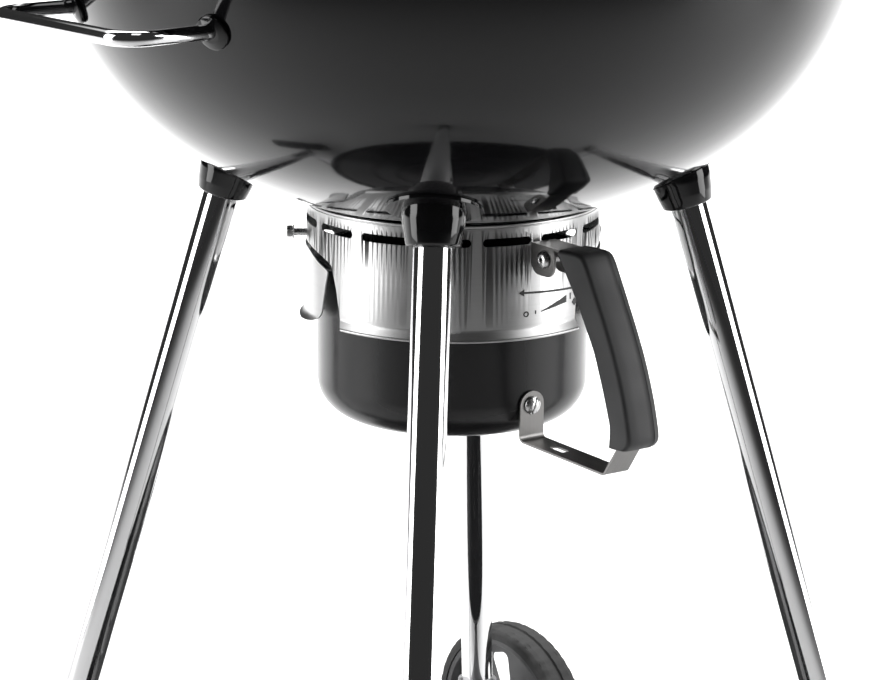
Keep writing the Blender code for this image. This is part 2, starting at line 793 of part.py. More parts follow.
def make_lid_handle(body):
    """A straight bar along X between two posts that stand on the lid."""
    half = LID_HANDLE_SPAN / 2
    foot_r = math.hypot(LID_HANDLE_R, half)
    bar_y = -LID_HANDLE_R - 0.012
    bar_z = LID.height(foot_r) + LID_HANDLE_HIGH
    bar = [
        (0, -half - 0.026),
        (LID_BAR_R - 0.003, -half - 0.026),
        (LID_BAR_R, -half - 0.023),
        (LID_BAR_R, half + 0.023),
        (LID_BAR_R - 0.003, half + 0.026),
        (0, half + 0.026),
    ]
    place = frame_at((0, bar_y, bar_z), (1, 0, 0), (0, 0, 1))
    node("lid_handle_bar", turned(bar, 24), "grip_black", body, place)
    for side, sign in (("left", -1), ("right", 1)):
        azimuth = math.degrees(math.atan2(-LID_HANDLE_R, sign * half))
        foot = on_shell(LID, azimuth, foot_r, GAP)
        start = foot.translation
        aim = Vector((sign * half, bar_y, bar_z)) - start
        length = aim.length - LID_BAR_R - GAP
        place = frame_at(start, aim, (0, 0, 1))
        post = [(0, -0.02), (0.013, -0.02), (0.013, 0.004), (POST_R, 0.009), (POST_R, length), (0, length)]
        stand = node(f"lid_handle_post_{side}", turned(post, 24), "screw_steel", body, place)
        combine(stand, lid_space(body), "DIFFERENCE")


def lid_space(body):
    """Everything under the lid's outer face, and a gap over it."""
    found = bpy.data.objects.get("lid_space")
    if found:
        return found
    skin = LID.profile(RIM_Z, -GAP)
    return helper("lid_space", turned(skin + [(0, RIM_Z)]), body)


def make_lid_hook(body):
    """A bent rod under the lid that hangs it on the bowl's rim."""
    place_r = 0.215
    top = LID.height(place_r, SHELL_WALL) - 0.006
    rod_r = 0.003
    corners = [
        Vector((-0.045, place_r, top + 0.020)),
        Vector((-0.045, place_r, top - 0.030)),
        Vector((0.045, place_r, top - 0.030)),
        Vector((0.045, place_r, top + 0.020)),
    ]
    hook = node("lid_hook", rod(filleted(corners, 0.010), rod_r, (0, 1, 0), 8), "plated_steel", body)
    space = LID.profile(RIM_Z, SHELL_WALL + GAP)
    combine(hook, helper("lid_hook_inside", turned(space + [(0, RIM_Z)]), body), "INTERSECT")


def make_gauge(bodies):
    """A round thermometer: case with its stem, dial, pointer and glass."""
    body = bodies["lid"]
    place = on_shell(LID, GAUGE_AZ, GAUGE_R, GAP)
    rim = GAUGE_CASE_R
    high = GAUGE_CASE_H
    floor_z = high - 0.006
    stem_r = 0.004
    case = [
        (0, -0.045),
        (stem_r, -0.045),
        (stem_r, -0.001),
        (stem_r, 0.0),
        (rim - 0.004, 0.001),
        (rim, 0.004),
        (rim, high - 0.001),
        (rim - 0.001, high),
        (rim - 0.0025, high),
        (rim - 0.0025, floor_z),
        (0, floor_z),
    ]
    node("gauge_case", turned(case, 24), "screw_steel", body, place)
    dial_r = rim - 0.0025 - GAP
    dial_top = floor_z + GAP + 0.001
    dial = [(0.0015, floor_z + GAP), (dial_r, floor_z + GAP), (dial_r, dial_top), (0.0015, dial_top)]
    node("gauge_dial", turned(dial, 24), "dial_white", body, place)
    glass = [(0, high - 0.0015), (dial_r, high - 0.0015), (dial_r, high - 0.0003), (0, high - 0.0003)]
    node("gauge_glass", turned(glass, 24), "gauge_glass", body, place)
    half_needle = [(-0.006, 0.0012), (0.002, 0.0018), (0.019, 0.0004)]
    needle = [(x, -y) for x, y in half_needle] + half_needle[::-1]
    low = dial_top + GAP
    node("gauge_pointer", prism(needle, low, low + 0.0008), "pointer_red", bodies["gauge_pointer"])
    return place


def make_lid_vent(bodies):
    """A disc that turns on a rivet over three holes, with a tab to push."""
    place = on_shell(LID, LID_VENT_AZ, LID_VENT_AT)
    sag = LID_VENT_R**2 / (2 * LID_DISH_R)
    base = GAP
    disc = [
        (POST_R / 2 + RUN, base),
        (LID_VENT_R, base),
        (LID_VENT_R, base + 0.0012),
        (POST_R / 2 + RUN, base + 0.0012),
    ]
    body = bodies["lid_vent"]
    plate = node("lid_vent_disc", turned(disc, 28), "band_stainless", body)
    for index in range(3):
        turn = Matrix.Rotation(math.tau * index / 3, 4, "Z") @ Matrix.Translation((LID_HOLE_AT, 0, 0))
        drill(plate, f"lid_vent_hole_cut_{index}", LID_HOLE_R, turn, body)
    tab = prism(rounded_box(0.014, 0.016, 0.004, 2), base + 0.0012 + GAP, base + 0.013)
    spot = Matrix.Rotation(math.radians(60), 4, "Z") @ Matrix.Translation((LID_HOLE_AT + 0.004, 0, 0))
    node("lid_vent_knob", tab, "grip_black", body, spot)
    head = base + 0.0012 + GAP
    rivet = [
        (0, -0.008),
        (0.006, -0.008),
        (0.006, -SHELL_WALL - sag - 0.001),
        (POST_R / 2, -SHELL_WALL - sag - 0.001),
        (POST_R / 2, head),
        (0.008, head),
        (0.006, head + 0.0025),
        (0, head + 0.003),
    ]
    node("lid_vent_rivet", turned(rivet, 24), "screw_steel", bodies["lid"], place)
    return place


# ---------------------------------------------------------------- damper rotor


def make_rotor(body):
    low_inset = SHELL_WALL + GAP
    skin_low = BOWL.profile(SLOT_Z + 0.05, low_inset)
    skin_high = BOWL.profile(SLOT_Z + 0.05, low_inset + BLADE_T)
    blades = node("damper_blades", turned(skin_low + skin_high[::-1], TURN_STEPS), "plated_steel", body)
    outline = []
    for index in range(VENT_COUNT):
        centre = VENT_PHASE - CLOSED_AT + index * 360 / VENT_COUNT
        start = centre - BLADE_SWEEP / 2
        end = centre + BLADE_SWEEP / 2
        outline += arc((0, 0), BLADE_OUT_R, start, end, 4)
        outline += arc((0, 0), BLADE_HUB_R, end + 4, start + 360 / VENT_COUNT - 4, 3)
    plan = helper("damper_plan", prism(outline, POLE_Z - 0.01, POLE_Z + 0.06), body)
    combine(blades, plan, "INTERSECT")
    drill(blades, "damper_bore_cut", SHAFT_R + GAP, Matrix.Translation((0, 0, POLE_Z + 0.004)), body)
    seat = BOWL.height(0.0095, low_inset + BLADE_T) + 3 * GAP
    shoulder = POLE_Z - GAP
    shaft = [
        (0, SLOT_Z - TANG_DROP),
        (TANG_W / 2, SLOT_Z - TANG_DROP),
        (TANG_W / 2, shoulder - 0.012),
        (0.011, shoulder - 0.010),
        (0.011, shoulder),
        (SHAFT_R, shoulder),
        (SHAFT_R, seat + 0.012),
        (0, seat + 0.012),
    ]
    spindle = node("damper_shaft", turned(shaft, 24), "plated_steel", body)
    for side in (-1, 1):
        low = TANG_T / 2 if side > 0 else -0.02
        high = 0.02 if side > 0 else -TANG_T / 2
        flat = box((-0.02, low, SLOT_Z - TANG_DROP - 0.01), (0.02, high, shoulder - 0.014))
        combine(spindle, helper(f"damper_tang_cut_{side + 1}", flat, body), "DIFFERENCE")
    nut = prism(hex_outline(0.0092), seat, seat + 0.006)
    hexagon = node("damper_nut", nut, "screw_steel", body)
    drill(hexagon, "damper_nut_cut", SHAFT_R + GAP, Matrix.Translation((0, 0, seat)), body)


# ---------------------------------------------------------------- ash catcher band and latches


def make_band(body):
    inner = BAND_R - BAND_WALL
    flare_top = HEM_Z + HEM_H
    profile = [
        (inner, BAND_TOP_Z),
        (inner, flare_top),
        (inner + HEM_FLARE, HEM_Z + 0.0008),
        (inner + HEM_FLARE, HEM_Z),
        (BAND_R + HEM_FLARE, HEM_Z),
        (BAND_R + HEM_FLARE, HEM_Z + 0.0012),
        (BAND_R, flare_top + 0.0006),
        (BAND_R, BAND_TOP_Z),
    ]
    band = node("ash_catcher_band", turned(profile, BAND_STEPS), "band_stainless", body)
    slot_length = BAND_R * math.radians(SLOT_SWEEP)
    for index in range(SLOT_COUNT):
        place = radial_frame(SLOT_PHASE + index * 360 / SLOT_COUNT, BAND_R, SLOT_Z)
        shape = prism(obround(slot_length, SLOT_H, 2), -0.008, 0.006)
        combine(band, helper(f"band_slot_cut_{index}", shape, body, place), "DIFFERENCE")
    tall = SIGHT_HOLE_BOTTOM - SIGHT_HOLE_TOP
    centre = SLOT_Z - (SIGHT_HOLE_BOTTOM + SIGHT_HOLE_TOP) / 2
    shape = prism([(-y, x) for x, y in obround(tall, SIGHT_HOLE_W)], -0.008, 0.006)
    hole = helper("band_sight_cut", shape, body, radial_frame(SIGHT_HOLE_AZ, BAND_R, centre))
    combine(band, hole, "DIFFERENCE")
    for side in range(2):
        azimuth = LATCH_AZ + 180 * side
        window = curved_strip(window_rows(), azimuth, 0.012, 12)
        combine(band, helper(f"band_window_cut_{side}", window, body), "DIFFERENCE")
        place = radial_frame(azimuth, BAND_R, latch_bolt_z())
        drill(band, f"band_bolt_cut_{side}", BOLT_R + GAP, place, body)


def latch_bolt_z():
    return SLOT_Z - LATCH_BOLT_DROP


def window_rows():
    """The opening in the band round a latch: (radius, z, half sweep) from top to bottom."""
    outside = BAND_R + 0.008
    drops = [(0.0172, 8.0), (0.0176, 14.0), (0.0190, 20.0), (0.0213, 26.0), (0.0236, 32.0)]
    drops += [(0.0267, 34.5), (0.0603, 41.0), (0.0750, 43.5)]
    return [(outside, SLOT_Z - drop, half) for drop, half in drops]


def latch_rows():
    """A strip inside the band that steps out through the window to a tongue with a curled lip."""
    radius = BAND_R + LATCH_PROUD
    inner = BAND_R - BAND_WALL - GAP
    placed = [(inner, SLOT_Z - drop, 5.0) for drop in (0.0070, LATCH_STEP_DROP)]
    placed.append((radius, SLOT_Z - 0.0195, 5.0))
    rows = [(0.0197, 10.0), (0.0206, 14.5), (0.0244, 22.0), (0.0292, 31.0)]
    rows += [(0.0400, 29.4), (0.0570, 26.6), (0.0600, 25.0)]
    placed += [(radius, SLOT_Z - drop, half) for drop, half in rows]
    curl_r = 0.007
    for step, half in ((1, 22.5), (2, 19.0), (3, 14.0), (4, 8.0)):
        turn = math.radians(16 * step)
        height = SLOT_Z - 0.0600 - curl_r * 1.25 * math.sin(turn)
        placed.append((radius + curl_r * (1 - math.cos(turn)), height, half))
    return placed


def make_latches(bodies):
    for index, side in enumerate(("left", "right")):
        azimuth = LATCH_AZ + 180 * index
        body = bodies[f"latch_{side}"]
        offset = Matrix.Translation(-body.location)
        bent = curved_strip(latch_rows(), azimuth, LATCH_T, 8)
        tongue = node(f"latch_{side}", bent, "band_stainless", body, offset)
        place = radial_frame(azimuth, BAND_R, latch_bolt_z())
        drill(tongue, f"latch_{side}_bolt_cut", BOLT_R + GAP, offset @ place, body)
        make_latch_bolt(side, place, bodies["bowl_stand"])


def make_latch_bolt(side, place, body):
    """A long hex bolt on the left, a low rivet on the right, with a nut inside the band."""
    back = -0.012
    reach, head_h = (BOLT_REACH, BOLT_HEAD_H) if side == "left" else (RIVET_REACH, RIVET_HEAD_H)
    front = reach - head_h + 0.0006
    shank = turned([(0, back), (BOLT_R, back), (BOLT_R, front), (0, front)], 20)
    bolt = node(f"latch_bolt_{side}", shank, "screw_steel", body, place)
    head = prism(hex_outline(BOLT_HEAD_R), reach - head_h, reach)
    combine(bolt, helper(f"latch_bolt_{side}_head", head, body, place), "UNION")
    high = -BAND_WALL - LATCH_T - 3 * GAP
    blank = prism(hex_outline(BOLT_HEAD_R), high - 0.004, high)
    nut = node(f"latch_nut_{side}", blank, "screw_steel", body, place)
    drill(nut, f"latch_nut_{side}_cut", BOLT_R + GAP, place, body)


# ---------------------------------------------------------------- ash pan and its handle


def make_pan(body):
    top = SLOT_Z - PAN_TOP_DROP
    low = SLOT_Z - PAN_BOTTOM_DROP
    outer_corner = (PAN_R - PAN_CORNER_R, low + PAN_CORNER_R)
    outside = arc(outer_corner, PAN_CORNER_R, -90, 0, 5)
    inside = arc(outer_corner, PAN_CORNER_R - PAN_WALL, 0, -90, 5)
    rim = [
        (PAN_R, top - 0.004),
        (PAN_R + PAN_RIM_W, top - 0.0035),
        (PAN_R + PAN_RIM_W, top),
        (PAN_R - PAN_WALL, top),
    ]
    profile = [(0, low)] + outside + rim + inside + [(0, low + PAN_WALL)]
    pan = node("ash_pan", turned(profile, PAN_STEPS), "enamel_pan", body)
    screw = radial_frame(HANDLE_AZ, PAN_R, SLOT_Z - FOOT_SCREW_DROP)
    drill(pan, "pan_screw_cut", BOLT_R + GAP, screw, body)
    half = PAN_R - PAN_WALL - 0.0015
    bar_top = SLOT_Z - CROSSBAR_DROP
    bar = box((-half, -CROSSBAR_W / 2, bar_top - CROSSBAR_T), (half, CROSSBAR_W / 2, bar_top))
    crossbar = node("pan_crossbar", bar, "plated_steel", body)
    hole_x = TANG_W / 2 + SLIDE
    hole_y = TANG_T / 2 + SLIDE
    hole = box((-hole_x, -hole_y, SLOT_Z - 0.06), (hole_x, hole_y, SLOT_Z))
    combine(crossbar, helper("crossbar_tang_cut", hole, body), "DIFFERENCE")
    inside_r = PAN_R - PAN_WALL - GAP
    room = turned([(0, low), (inside_r, low), (inside_r, top), (0, top)], PAN_STEPS)
    combine(crossbar, helper("crossbar_room", room, body), "INTERSECT")


def handle_path():
    """The strap's middle line in the handle's plane: (radius, z), from the ears to the foot."""
    arm_z = SLOT_Z - ARM_DROP
    heading = GRIP_TOP_ANGLE
    spot = (ARM_BEND_R, arm_z)
    grip = [spot]
    steps = 8
    for _ in range(steps):
        turn = math.radians(heading)
        stride = GRIP_ARC_LENGTH / steps
        spot = (spot[0] + stride * math.cos(turn), spot[1] - stride * math.sin(turn))
        grip.append(spot)
        heading += math.degrees(stride / GRIP_ARC_R)
    low_z = SLOT_Z - LOWER_ARM_DROP
    corner = (spot[0] - CORNER_IN, low_z)
    foot_r = PAN_R + GAP + STRAP_T / 2
    return [(ARM_START_R, arm_z)], grip, [corner, (foot_r, low_z), (foot_r, SLOT_Z - FOOT_SCREW_DROP)]


def upright(azimuth):
    """X out along the azimuth, Y up, so a flat outline stands in the handle's plane."""
    return frame_at((0, 0, 0), at(azimuth - 90, 1), at(azimuth, 1))


def ribbon(path, thickness):
    """An outline round a path, half the thickness to each side."""
    left = []
    right = []
    for index, point in enumerate(path):
        before = Vector(path[max(index - 1, 0)])
        after = Vector(path[min(index + 1, len(path) - 1)])
        here = Vector(point)
        into = (here - before).normalized() if index else (after - here).normalized()
        out = (after - here).normalized() if index < len(path) - 1 else into
        ahead = (into + out).normalized()
        side = Vector((-ahead.y, ahead.x)) * thickness / 2 / max(ahead.dot(into), 0.5)
        left.append(here + side)
        right.append(here - side)
    return left + right[::-1]


def strap_line():
    start, grip, end = handle_path()
    points = [Vector((x, y, 0)) for x, y in start + grip + end]
    bends = filleted(points, 0.003, 3)
    return [(point.x, point.y) for point in bends]


def make_strap(body):
    stand = upright(HANDLE_AZ)
    shape = prism(ribbon(strap_line(), STRAP_T), -STRAP_W / 2, STRAP_W / 2)
    strap = node("handle_strap", shape, "strap_steel", body, stand)
    foot_r = PAN_R + GAP
    screw = radial_frame(HANDLE_AZ, foot_r, SLOT_Z - FOOT_SCREW_DROP)
    round_end = prism(arc((0, 0), STRAP_W / 2, -180, 180 - 30, 11), 0, STRAP_T)
    combine(strap, helper("strap_round_end", round_end, body, screw), "UNION")
    arm_top = SLOT_Z - ARM_DROP + STRAP_T / 2
    for index, sign in enumerate((-1, 1)):
        middle = (ARM_START_R + EAR_W / 2, arm_top - EAR_H / 2)
        outline = [(x + middle[0], y + middle[1]) for x, y in rounded_box(EAR_W, EAR_H, EAR_CORNER, 3)]
        square = [(ARM_START_R, arm_top), (ARM_START_R, arm_top - EAR_H / 2)]
        lower = [point for point in outline if point[1] < middle[1]]
        outline = square + sorted(lower, key=lambda point: point[0]) + [(ARM_START_R + EAR_W, arm_top)]
        inner = STRAP_W / 2 - STRAP_T
        low, high = sorted((sign * inner, sign * STRAP_W / 2))
        ear = helper(f"strap_ear_{index}", prism(outline, low, high), body, stand)
        combine(strap, ear, "UNION")
    drill_through(strap, "strap_ear_cut", ear_screw_frame(), body)
    drill(strap, "strap_foot_cut", BOLT_R + GAP, screw, body)
    lower = prism(rounded_box(0.0150, 0.0055, 0.0005, 1), -0.01, 0.01)
    place = frame_at(at(HANDLE_AZ, 0.1335, SLOT_Z - LOWER_ARM_DROP), (0, 0, 1), at(HANDLE_AZ, 1))
    combine(strap, helper("strap_slot_cut", lower, body, place), "DIFFERENCE")


def ear_screw_frame():
    """On the ears' screw axis, in the strap's middle plane, Z round the kettle."""
    radius = ARM_START_R + EAR_SCREW_IN
    z = SLOT_Z - EAR_SCREW_DROP
    return frame_at(at(HANDLE_AZ, radius, z), at(HANDLE_AZ - 90, 1), (0, 0, 1))


def drill_through(target, name, matrix, body):
    bore = turned([(0, -0.03), (BOLT_R + GAP, -0.03), (BOLT_R + GAP, 0.03), (0, 0.03)], 16)
    combine(target, helper(name, bore, body, matrix), "DIFFERENCE")


def make_grip(body):
    """A moulded sleeve over the bowed part of the strap."""
    _, grip, _ = handle_path()
    stand = upright(HANDLE_AZ)
    points = [Vector((ARM_BEND_R - 0.012, grip[0][1], 0))] + [Vector((x, y, 0)) for x, y in grip[:-1]]
    last = Vector((*grip[-1], 0))
    points.append(points[-1] + (last - points[-1]) * 0.85)
    path = filleted(points, 0.004, 2)
    sections = []
    for index, point in enumerate(path):
        ahead = path[min(index + 1, len(path) - 1)] - path[max(index - 1, 0)]
        ahead.normalize()
        side = Vector((-ahead.y, ahead.x, 0))
        across = Vector((0, 0, 1))
        sections.append([point + side * y + across * x for x, y in rounded_box(GRIP_W, GRIP_T, 0.005, 1)])
    sleeve = node("handle_grip", swept(sections), "grip_black", body, stand)
    room = ribbon(strap_line(), STRAP_T + 2 * GAP)
    half = STRAP_W / 2 + GAP
    combine(sleeve, helper("grip_strap_cut", prism(room, -half, half), body, stand), "DIFFERENCE")


def make_handle_screws(body):
    """A slotted screw and nut at the foot, a socket button screw and nut through the ears."""
    foot = radial_frame(HANDLE_AZ, PAN_R + GAP + STRAP_T, SLOT_Z - FOOT_SCREW_DROP)
    pan_inside = -STRAP_T - PAN_WALL - 4 * GAP
    head = [
        (0, pan_inside - 0.007),
        (BOLT_R, pan_inside - 0.007),
        (BOLT_R, GAP),
        (0.0062, GAP),
        (0.0060, 0.0009),
        (0.0050, 0.0020),
        (0.0028, 0.0027),
        (0, 0.0029),
    ]
    screw = node("foot_screw", turned(head, 24), "screw_steel", body, foot)
    groove = helper("foot_screw_slot", box((-0.0006, -0.008, 0.0016), (0.0006, 0.008, 0.004)), body, foot)
    combine(screw, groove, "DIFFERENCE")
    blank = prism(hex_outline(BOLT_HEAD_R), pan_inside - 0.004, pan_inside - 0.0004)
    nut = node("foot_nut", blank, "screw_steel", body, foot)
    drill(nut, "foot_nut_cut", BOLT_R + GAP, foot, body)
    place = ear_screw_frame()
    out = STRAP_W / 2 + GAP
    button = [
        (0, -out - 0.006),
        (BOLT_R, -out - 0.006),
        (BOLT_R, out),
        (0.0058, out),
        (0.0056, out + 0.0012),
        (0.0044, out + 0.0027),
        (0.0026, out + 0.0032),
        (0, out + 0.0032),
    ]
    socket = node("ear_screw", turned(button, 24), "screw_steel", body, place)
    key = prism(hex_outline(0.0018), out + 0.001, out + 0.01)
    combine(socket, helper("ear_screw_socket", key, body, place), "DIFFERENCE")
    nut = node("ear_nut", prism(hex_outline(BOLT_HEAD_R), -out - 0.004, -out), "screw_steel", body, place)
    drill(nut, "ear_nut_cut", BOLT_R + GAP, place, body)


# ---------------------------------------------------------------- the whole grill


def make_bodies():
    """An empty for each body, on its joint's axis where it has one."""
    grill = empty("grill_axis", location=(0, AXIS_Y, 0))
    on_the_axis = ("bowl_stand", "lid", "cooking_grate", "charcoal_grate", "damper")
    bodies = {name: empty(f"body_{name}", grill) for name in on_the_axis}
    bodies["ash_pan"] = empty("body_ash_pan", bodies["damper"])
    leg_x = leg_radius(WHEEL_R) * math.cos(math.radians(LEG_NAMES["rear_right"]))
    for side, sign in (("left", -1), ("right", 1)):
        centre = (sign * (leg_x + wheel_offset()), AXLE_Y, WHEEL_R)
        bodies[f"wheel_{side}"] = empty(f"body_wheel_{side}", grill, centre)
    for index, side in enumerate(("left", "right")):
        hinge = at(LATCH_AZ + 180 * index, BAND_R - BAND_WALL, SLOT_Z - LATCH_STEP_DROP)
        bodies[f"latch_{side}"] = empty(f"body_latch_{side}", grill, hinge)
    bodies["lid_vent"] = empty("body_lid_vent", bodies["lid"])
    bodies["lid_vent"].matrix_local = on_shell(LID, LID_VENT_AZ, LID_VENT_AT)
    bodies["gauge_pointer"] = empty("body_gauge_pointer", bodies["lid"])
    bodies["gauge_pointer"].matrix_local = on_shell(LID, GAUGE_AZ, GAUGE_R, GAP)
    return bodies


def main():
    clear_scene()
    bodies = make_bodies()
    stand = bodies["bowl_stand"]
    make_bowl(stand)
    make_collars(stand)
    make_legs(stand)
    make_axle(stand)
    make_wheels(bodies)
    make_shelf(stand)
    make_side_handles(stand)
    make_grate_brackets(stand)
    make_grates(bodies)
    make_lid(bodies["lid"])
    make_lid_handle(bodies["lid"])
    make_lid_hook(bodies["lid"])
    make_gauge(bodies)
    make_lid_vent(bodies)
    make_rotor(bodies["damper"])
    make_band(stand)
    make_latches(bodies)
    make_pan(bodies["ash_pan"])
    make_strap(bodies["ash_pan"])
    make_grip(bodies["ash_pan"])
    make_handle_screws(bodies["ash_pan"])


main()
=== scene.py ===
"""Kettle charcoal grill: enamelled bowl and lid, chromed legs, ash catcher and strap handle.

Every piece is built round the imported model, in its frame: metres, +Z up, front at -Y.
"""

import math

import bmesh
import bpy
from bpy.props import FloatProperty, FloatVectorProperty, IntProperty, PointerProperty
from mathutils import Matrix, Vector


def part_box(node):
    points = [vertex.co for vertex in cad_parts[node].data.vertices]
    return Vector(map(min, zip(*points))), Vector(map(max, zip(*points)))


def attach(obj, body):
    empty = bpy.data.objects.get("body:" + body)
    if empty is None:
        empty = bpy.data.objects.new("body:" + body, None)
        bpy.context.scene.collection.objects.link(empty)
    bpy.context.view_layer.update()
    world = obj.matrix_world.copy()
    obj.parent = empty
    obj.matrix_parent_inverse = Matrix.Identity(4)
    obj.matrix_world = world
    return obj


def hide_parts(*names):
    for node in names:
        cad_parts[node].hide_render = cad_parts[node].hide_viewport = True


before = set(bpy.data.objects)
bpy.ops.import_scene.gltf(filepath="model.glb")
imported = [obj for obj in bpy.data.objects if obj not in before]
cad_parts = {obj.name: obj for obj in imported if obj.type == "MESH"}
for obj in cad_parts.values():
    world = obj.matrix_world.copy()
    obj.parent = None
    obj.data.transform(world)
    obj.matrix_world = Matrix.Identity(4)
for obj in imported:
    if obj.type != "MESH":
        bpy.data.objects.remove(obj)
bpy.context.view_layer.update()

bl_info = {
    "name": "Kettle Grill",
    "version": (1, 0, 0),
    "blender": (4, 5, 0),
    "location": "View3D > Sidebar > Kettle Grill",
    "description": "Builds the pieces, finishes and studio of a kettle charcoal grill",
    "category": "Add Mesh",
}


def middle(node):
    """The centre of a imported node's box."""
    low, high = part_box(node)
    return (Vector(low) + Vector(high)) / 2


def low_z(node):
    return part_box(node)[0][2]


def high_z(node):
    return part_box(node)[1][2]


AXIS_Y = middle("ash_pan").y
RIM_Z = high_z("bowl")
POLE_Z = low_z("bowl")
HEM_Z = low_z("ash_catcher_band")
SLOT_Z = HEM_Z + 0.067
PAN_TOP_Z = high_z("ash_pan")
PAN_LOW_Z = low_z("ash_pan")
PAN_RIM_R = (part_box("ash_pan")[1][0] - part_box("ash_pan")[0][0]) / 2
LID_TOP_Z = high_z("lid")
WHEEL_R = (high_z("tyre_left") - low_z("tyre_left")) / 2
LEGS = {"front_left": -135.0, "front_right": -45.0, "rear_left": 135.0, "rear_right": 45.0}
LATCHES = {"left": 143.0, "right": -37.0}
AIR = 0.0003  # between pieces that touch
SCREW_HOLE_R = 0.0028
PAN_R = 0.0944
LOWER_ARM_DROP = 0.1395  # from the row of air slots down to the strap's lower arm


# ---------------------------------------------------------------- sizes and finishes that a user may change


def length(name, description, default):
    return FloatProperty(
        name=name,
        description=description,
        default=default,
        subtype="DISTANCE",
        unit="LENGTH",
    )


def angle(name, description, degrees):
    return FloatProperty(name=name, description=description, default=math.radians(degrees), subtype="ANGLE")


def shade(name, description, grey):
    return FloatVectorProperty(
        name=name,
        description=description,
        default=grey,
        subtype="COLOR",
        min=0,
        max=1,
    )


class KettleSizes(bpy.types.PropertyGroup):
    bowl_radius: length("Bowl radius", "Widest outer radius of the bowl", 0.276)
    bowl_dish: length("Bowl dish radius", "Radius of the arc at the bowl's bottom", 0.350)
    bowl_side: length("Bowl side radius", "Radius of the arc at the bowl's side", 0.200)
    lid_radius: length("Lid radius", "Widest outer radius of the lid", 0.2798)
    lid_dish: length("Lid dish radius", "Radius of the arc at the lid's top", 0.345)
    lid_side: length("Lid side radius", "Radius of the arc at the lid's side", 0.185)
    wall: length("Sheet", "Thickness of the enamelled sheet", 0.0015)
    flange: length("Rim flange", "How far the bowl's rolled rim stands out", 0.0045)
    steps: IntProperty(name="Steps", description="Facets round the bowl and lid", default=192, min=32)


class LegSizes(bpy.types.PropertyGroup):
    tube: length("Tube radius", "Outer radius of a leg", 0.0127)
    at_slots: length("Stance", "A leg's distance from the kettle's axis, level with the air slots", 0.1646)
    splay: FloatProperty(
        name="Splay", description="How far a leg moves out for each metre down", default=0.296
    )
    collar: length("Collar radius", "Outer radius of the cup that holds a leg", 0.0208)
    collar_depth: length("Collar depth", "From the bowl down to the collar's lower edge", 0.0245)
    saucer: length("Saucer radius", "Radius of the plate between collar and bowl", 0.0310)


class BandSizes(bpy.types.PropertyGroup):
    radius: length("Band radius", "Outer radius of the ash catcher's band", 0.1016)
    wall: length("Band wall", "Thickness of the band's sheet", 0.0010)
    slots: IntProperty(name="Slots", description="Air slots round the band", default=15, min=0)
    slot_height: length("Slot height", "Height of an air slot", 0.0056)
    slot_sweep: angle("Slot sweep", "How far round the band a slot runs", 19.4)
    slot_start: angle("First slot", "Azimuth of the first slot's middle", 10.5)
    flare: length("Hem flare", "How far the hem turns out", 0.0034)


class HandleSizes(bpy.types.PropertyGroup):
    azimuth: angle("Azimuth", "Where the handle stands round the pan", -96.0)
    strap_width: length("Strap width", "Width of the bent strap", 0.0195)
    strap_sheet: length("Strap thickness", "Thickness of the bent strap", 0.0015)
    grip_width: length("Grip width", "Width of the moulded grip", 0.0265)
    grip_depth: length("Grip depth", "Depth of the moulded grip", 0.0200)


class StudioSettings(bpy.types.PropertyGroup):
    distance: length("Distance", "From the kettle's axis to the camera, level", 1.9)
    height: length("Height", "Camera above the row of air slots", 0.386)
    bearing: angle("Bearing", "Azimuth of the camera round the kettle", -130.5)
    pitch: angle("Pitch", "How far the camera looks down", 14.085)
    yaw: angle("Yaw", "How far the camera turns from the axis", -0.255)
    roll: FloatProperty(name="Roll", description="Camera roll", default=-0.008, subtype="ANGLE")
    lens: FloatProperty(name="Lens", description="Focal length for a 36 mm sensor", default=114.46)
    floor: shade("Floor", "Colour of the floor", (0.86, 0.86, 0.86))


class Finishes(bpy.types.PropertyGroup):
    enamel: shade("Enamel", "Bowl, lid and collars", (0.004, 0.004, 0.0045))
    pan: shade("Pan enamel", "Ash pan and shelf", (0.010, 0.010, 0.0105))
    chrome: shade("Chrome", "Legs and side handles", (0.72, 0.72, 0.725))
    stainless: shade("Stainless", "Band and latches", (0.50, 0.50, 0.50))
    strap: shade("Strap", "Dark steel of the pan's handle", (0.24, 0.235, 0.23))
    screw: shade("Screws", "Screws, bolts and nuts", (0.56, 0.56, 0.56))
    grip: shade("Grip", "Moulded grips and feet", (0.028, 0.028, 0.029))
    rubber: shade("Rubber", "Tyres", (0.016, 0.016, 0.016))
    wheel: shade("Wheels", "Wheel hubs", (0.035, 0.035, 0.037))
    iron: shade("Iron", "Charcoal grate", (0.03, 0.029, 0.028))
    plated: shade("Plating", "Clips, brackets, axle and damper", (0.48, 0.48, 0.49))


GROUPS = {
    "kettle": KettleSizes,
    "legs": LegSizes,
    "band": BandSizes,
    "handle": HandleSizes,
    "studio": StudioSettings,
    "finishes": Finishes,
}


def sizes(name):
    return getattr(bpy.context.scene, f"grill_{name}")


# ---------------------------------------------------------------- places and outlines


def at(azimuth, radius, z=0.0):
    """The point at this azimuth (degrees from +X) and radius from the kettle's axis."""
    turn = math.radians(azimuth)
    return Vector((radius * math.cos(turn), AXIS_Y + radius * math.sin(turn), z))


def heading(azimuth):
    turn = math.radians(azimuth)
    return Vector((math.cos(turn), math.sin(turn), 0))


def frame_at(origin, z_axis, x_axis):
    """A placement with its Z along z_axis and its X as near x_axis as it can be."""
    z_axis = Vector(z_axis).normalized()
    x_axis = Vector(x_axis)
    x_axis = (x_axis - z_axis * x_axis.dot(z_axis)).normalized()
    turn = Matrix((x_axis, z_axis.cross(x_axis), z_axis)).transposed().to_4x4()
    return Matrix.Translation(Vector(origin)) @ turn


def on_axis(z=0.0):
    return Matrix.Translation((0, AXIS_Y, z))


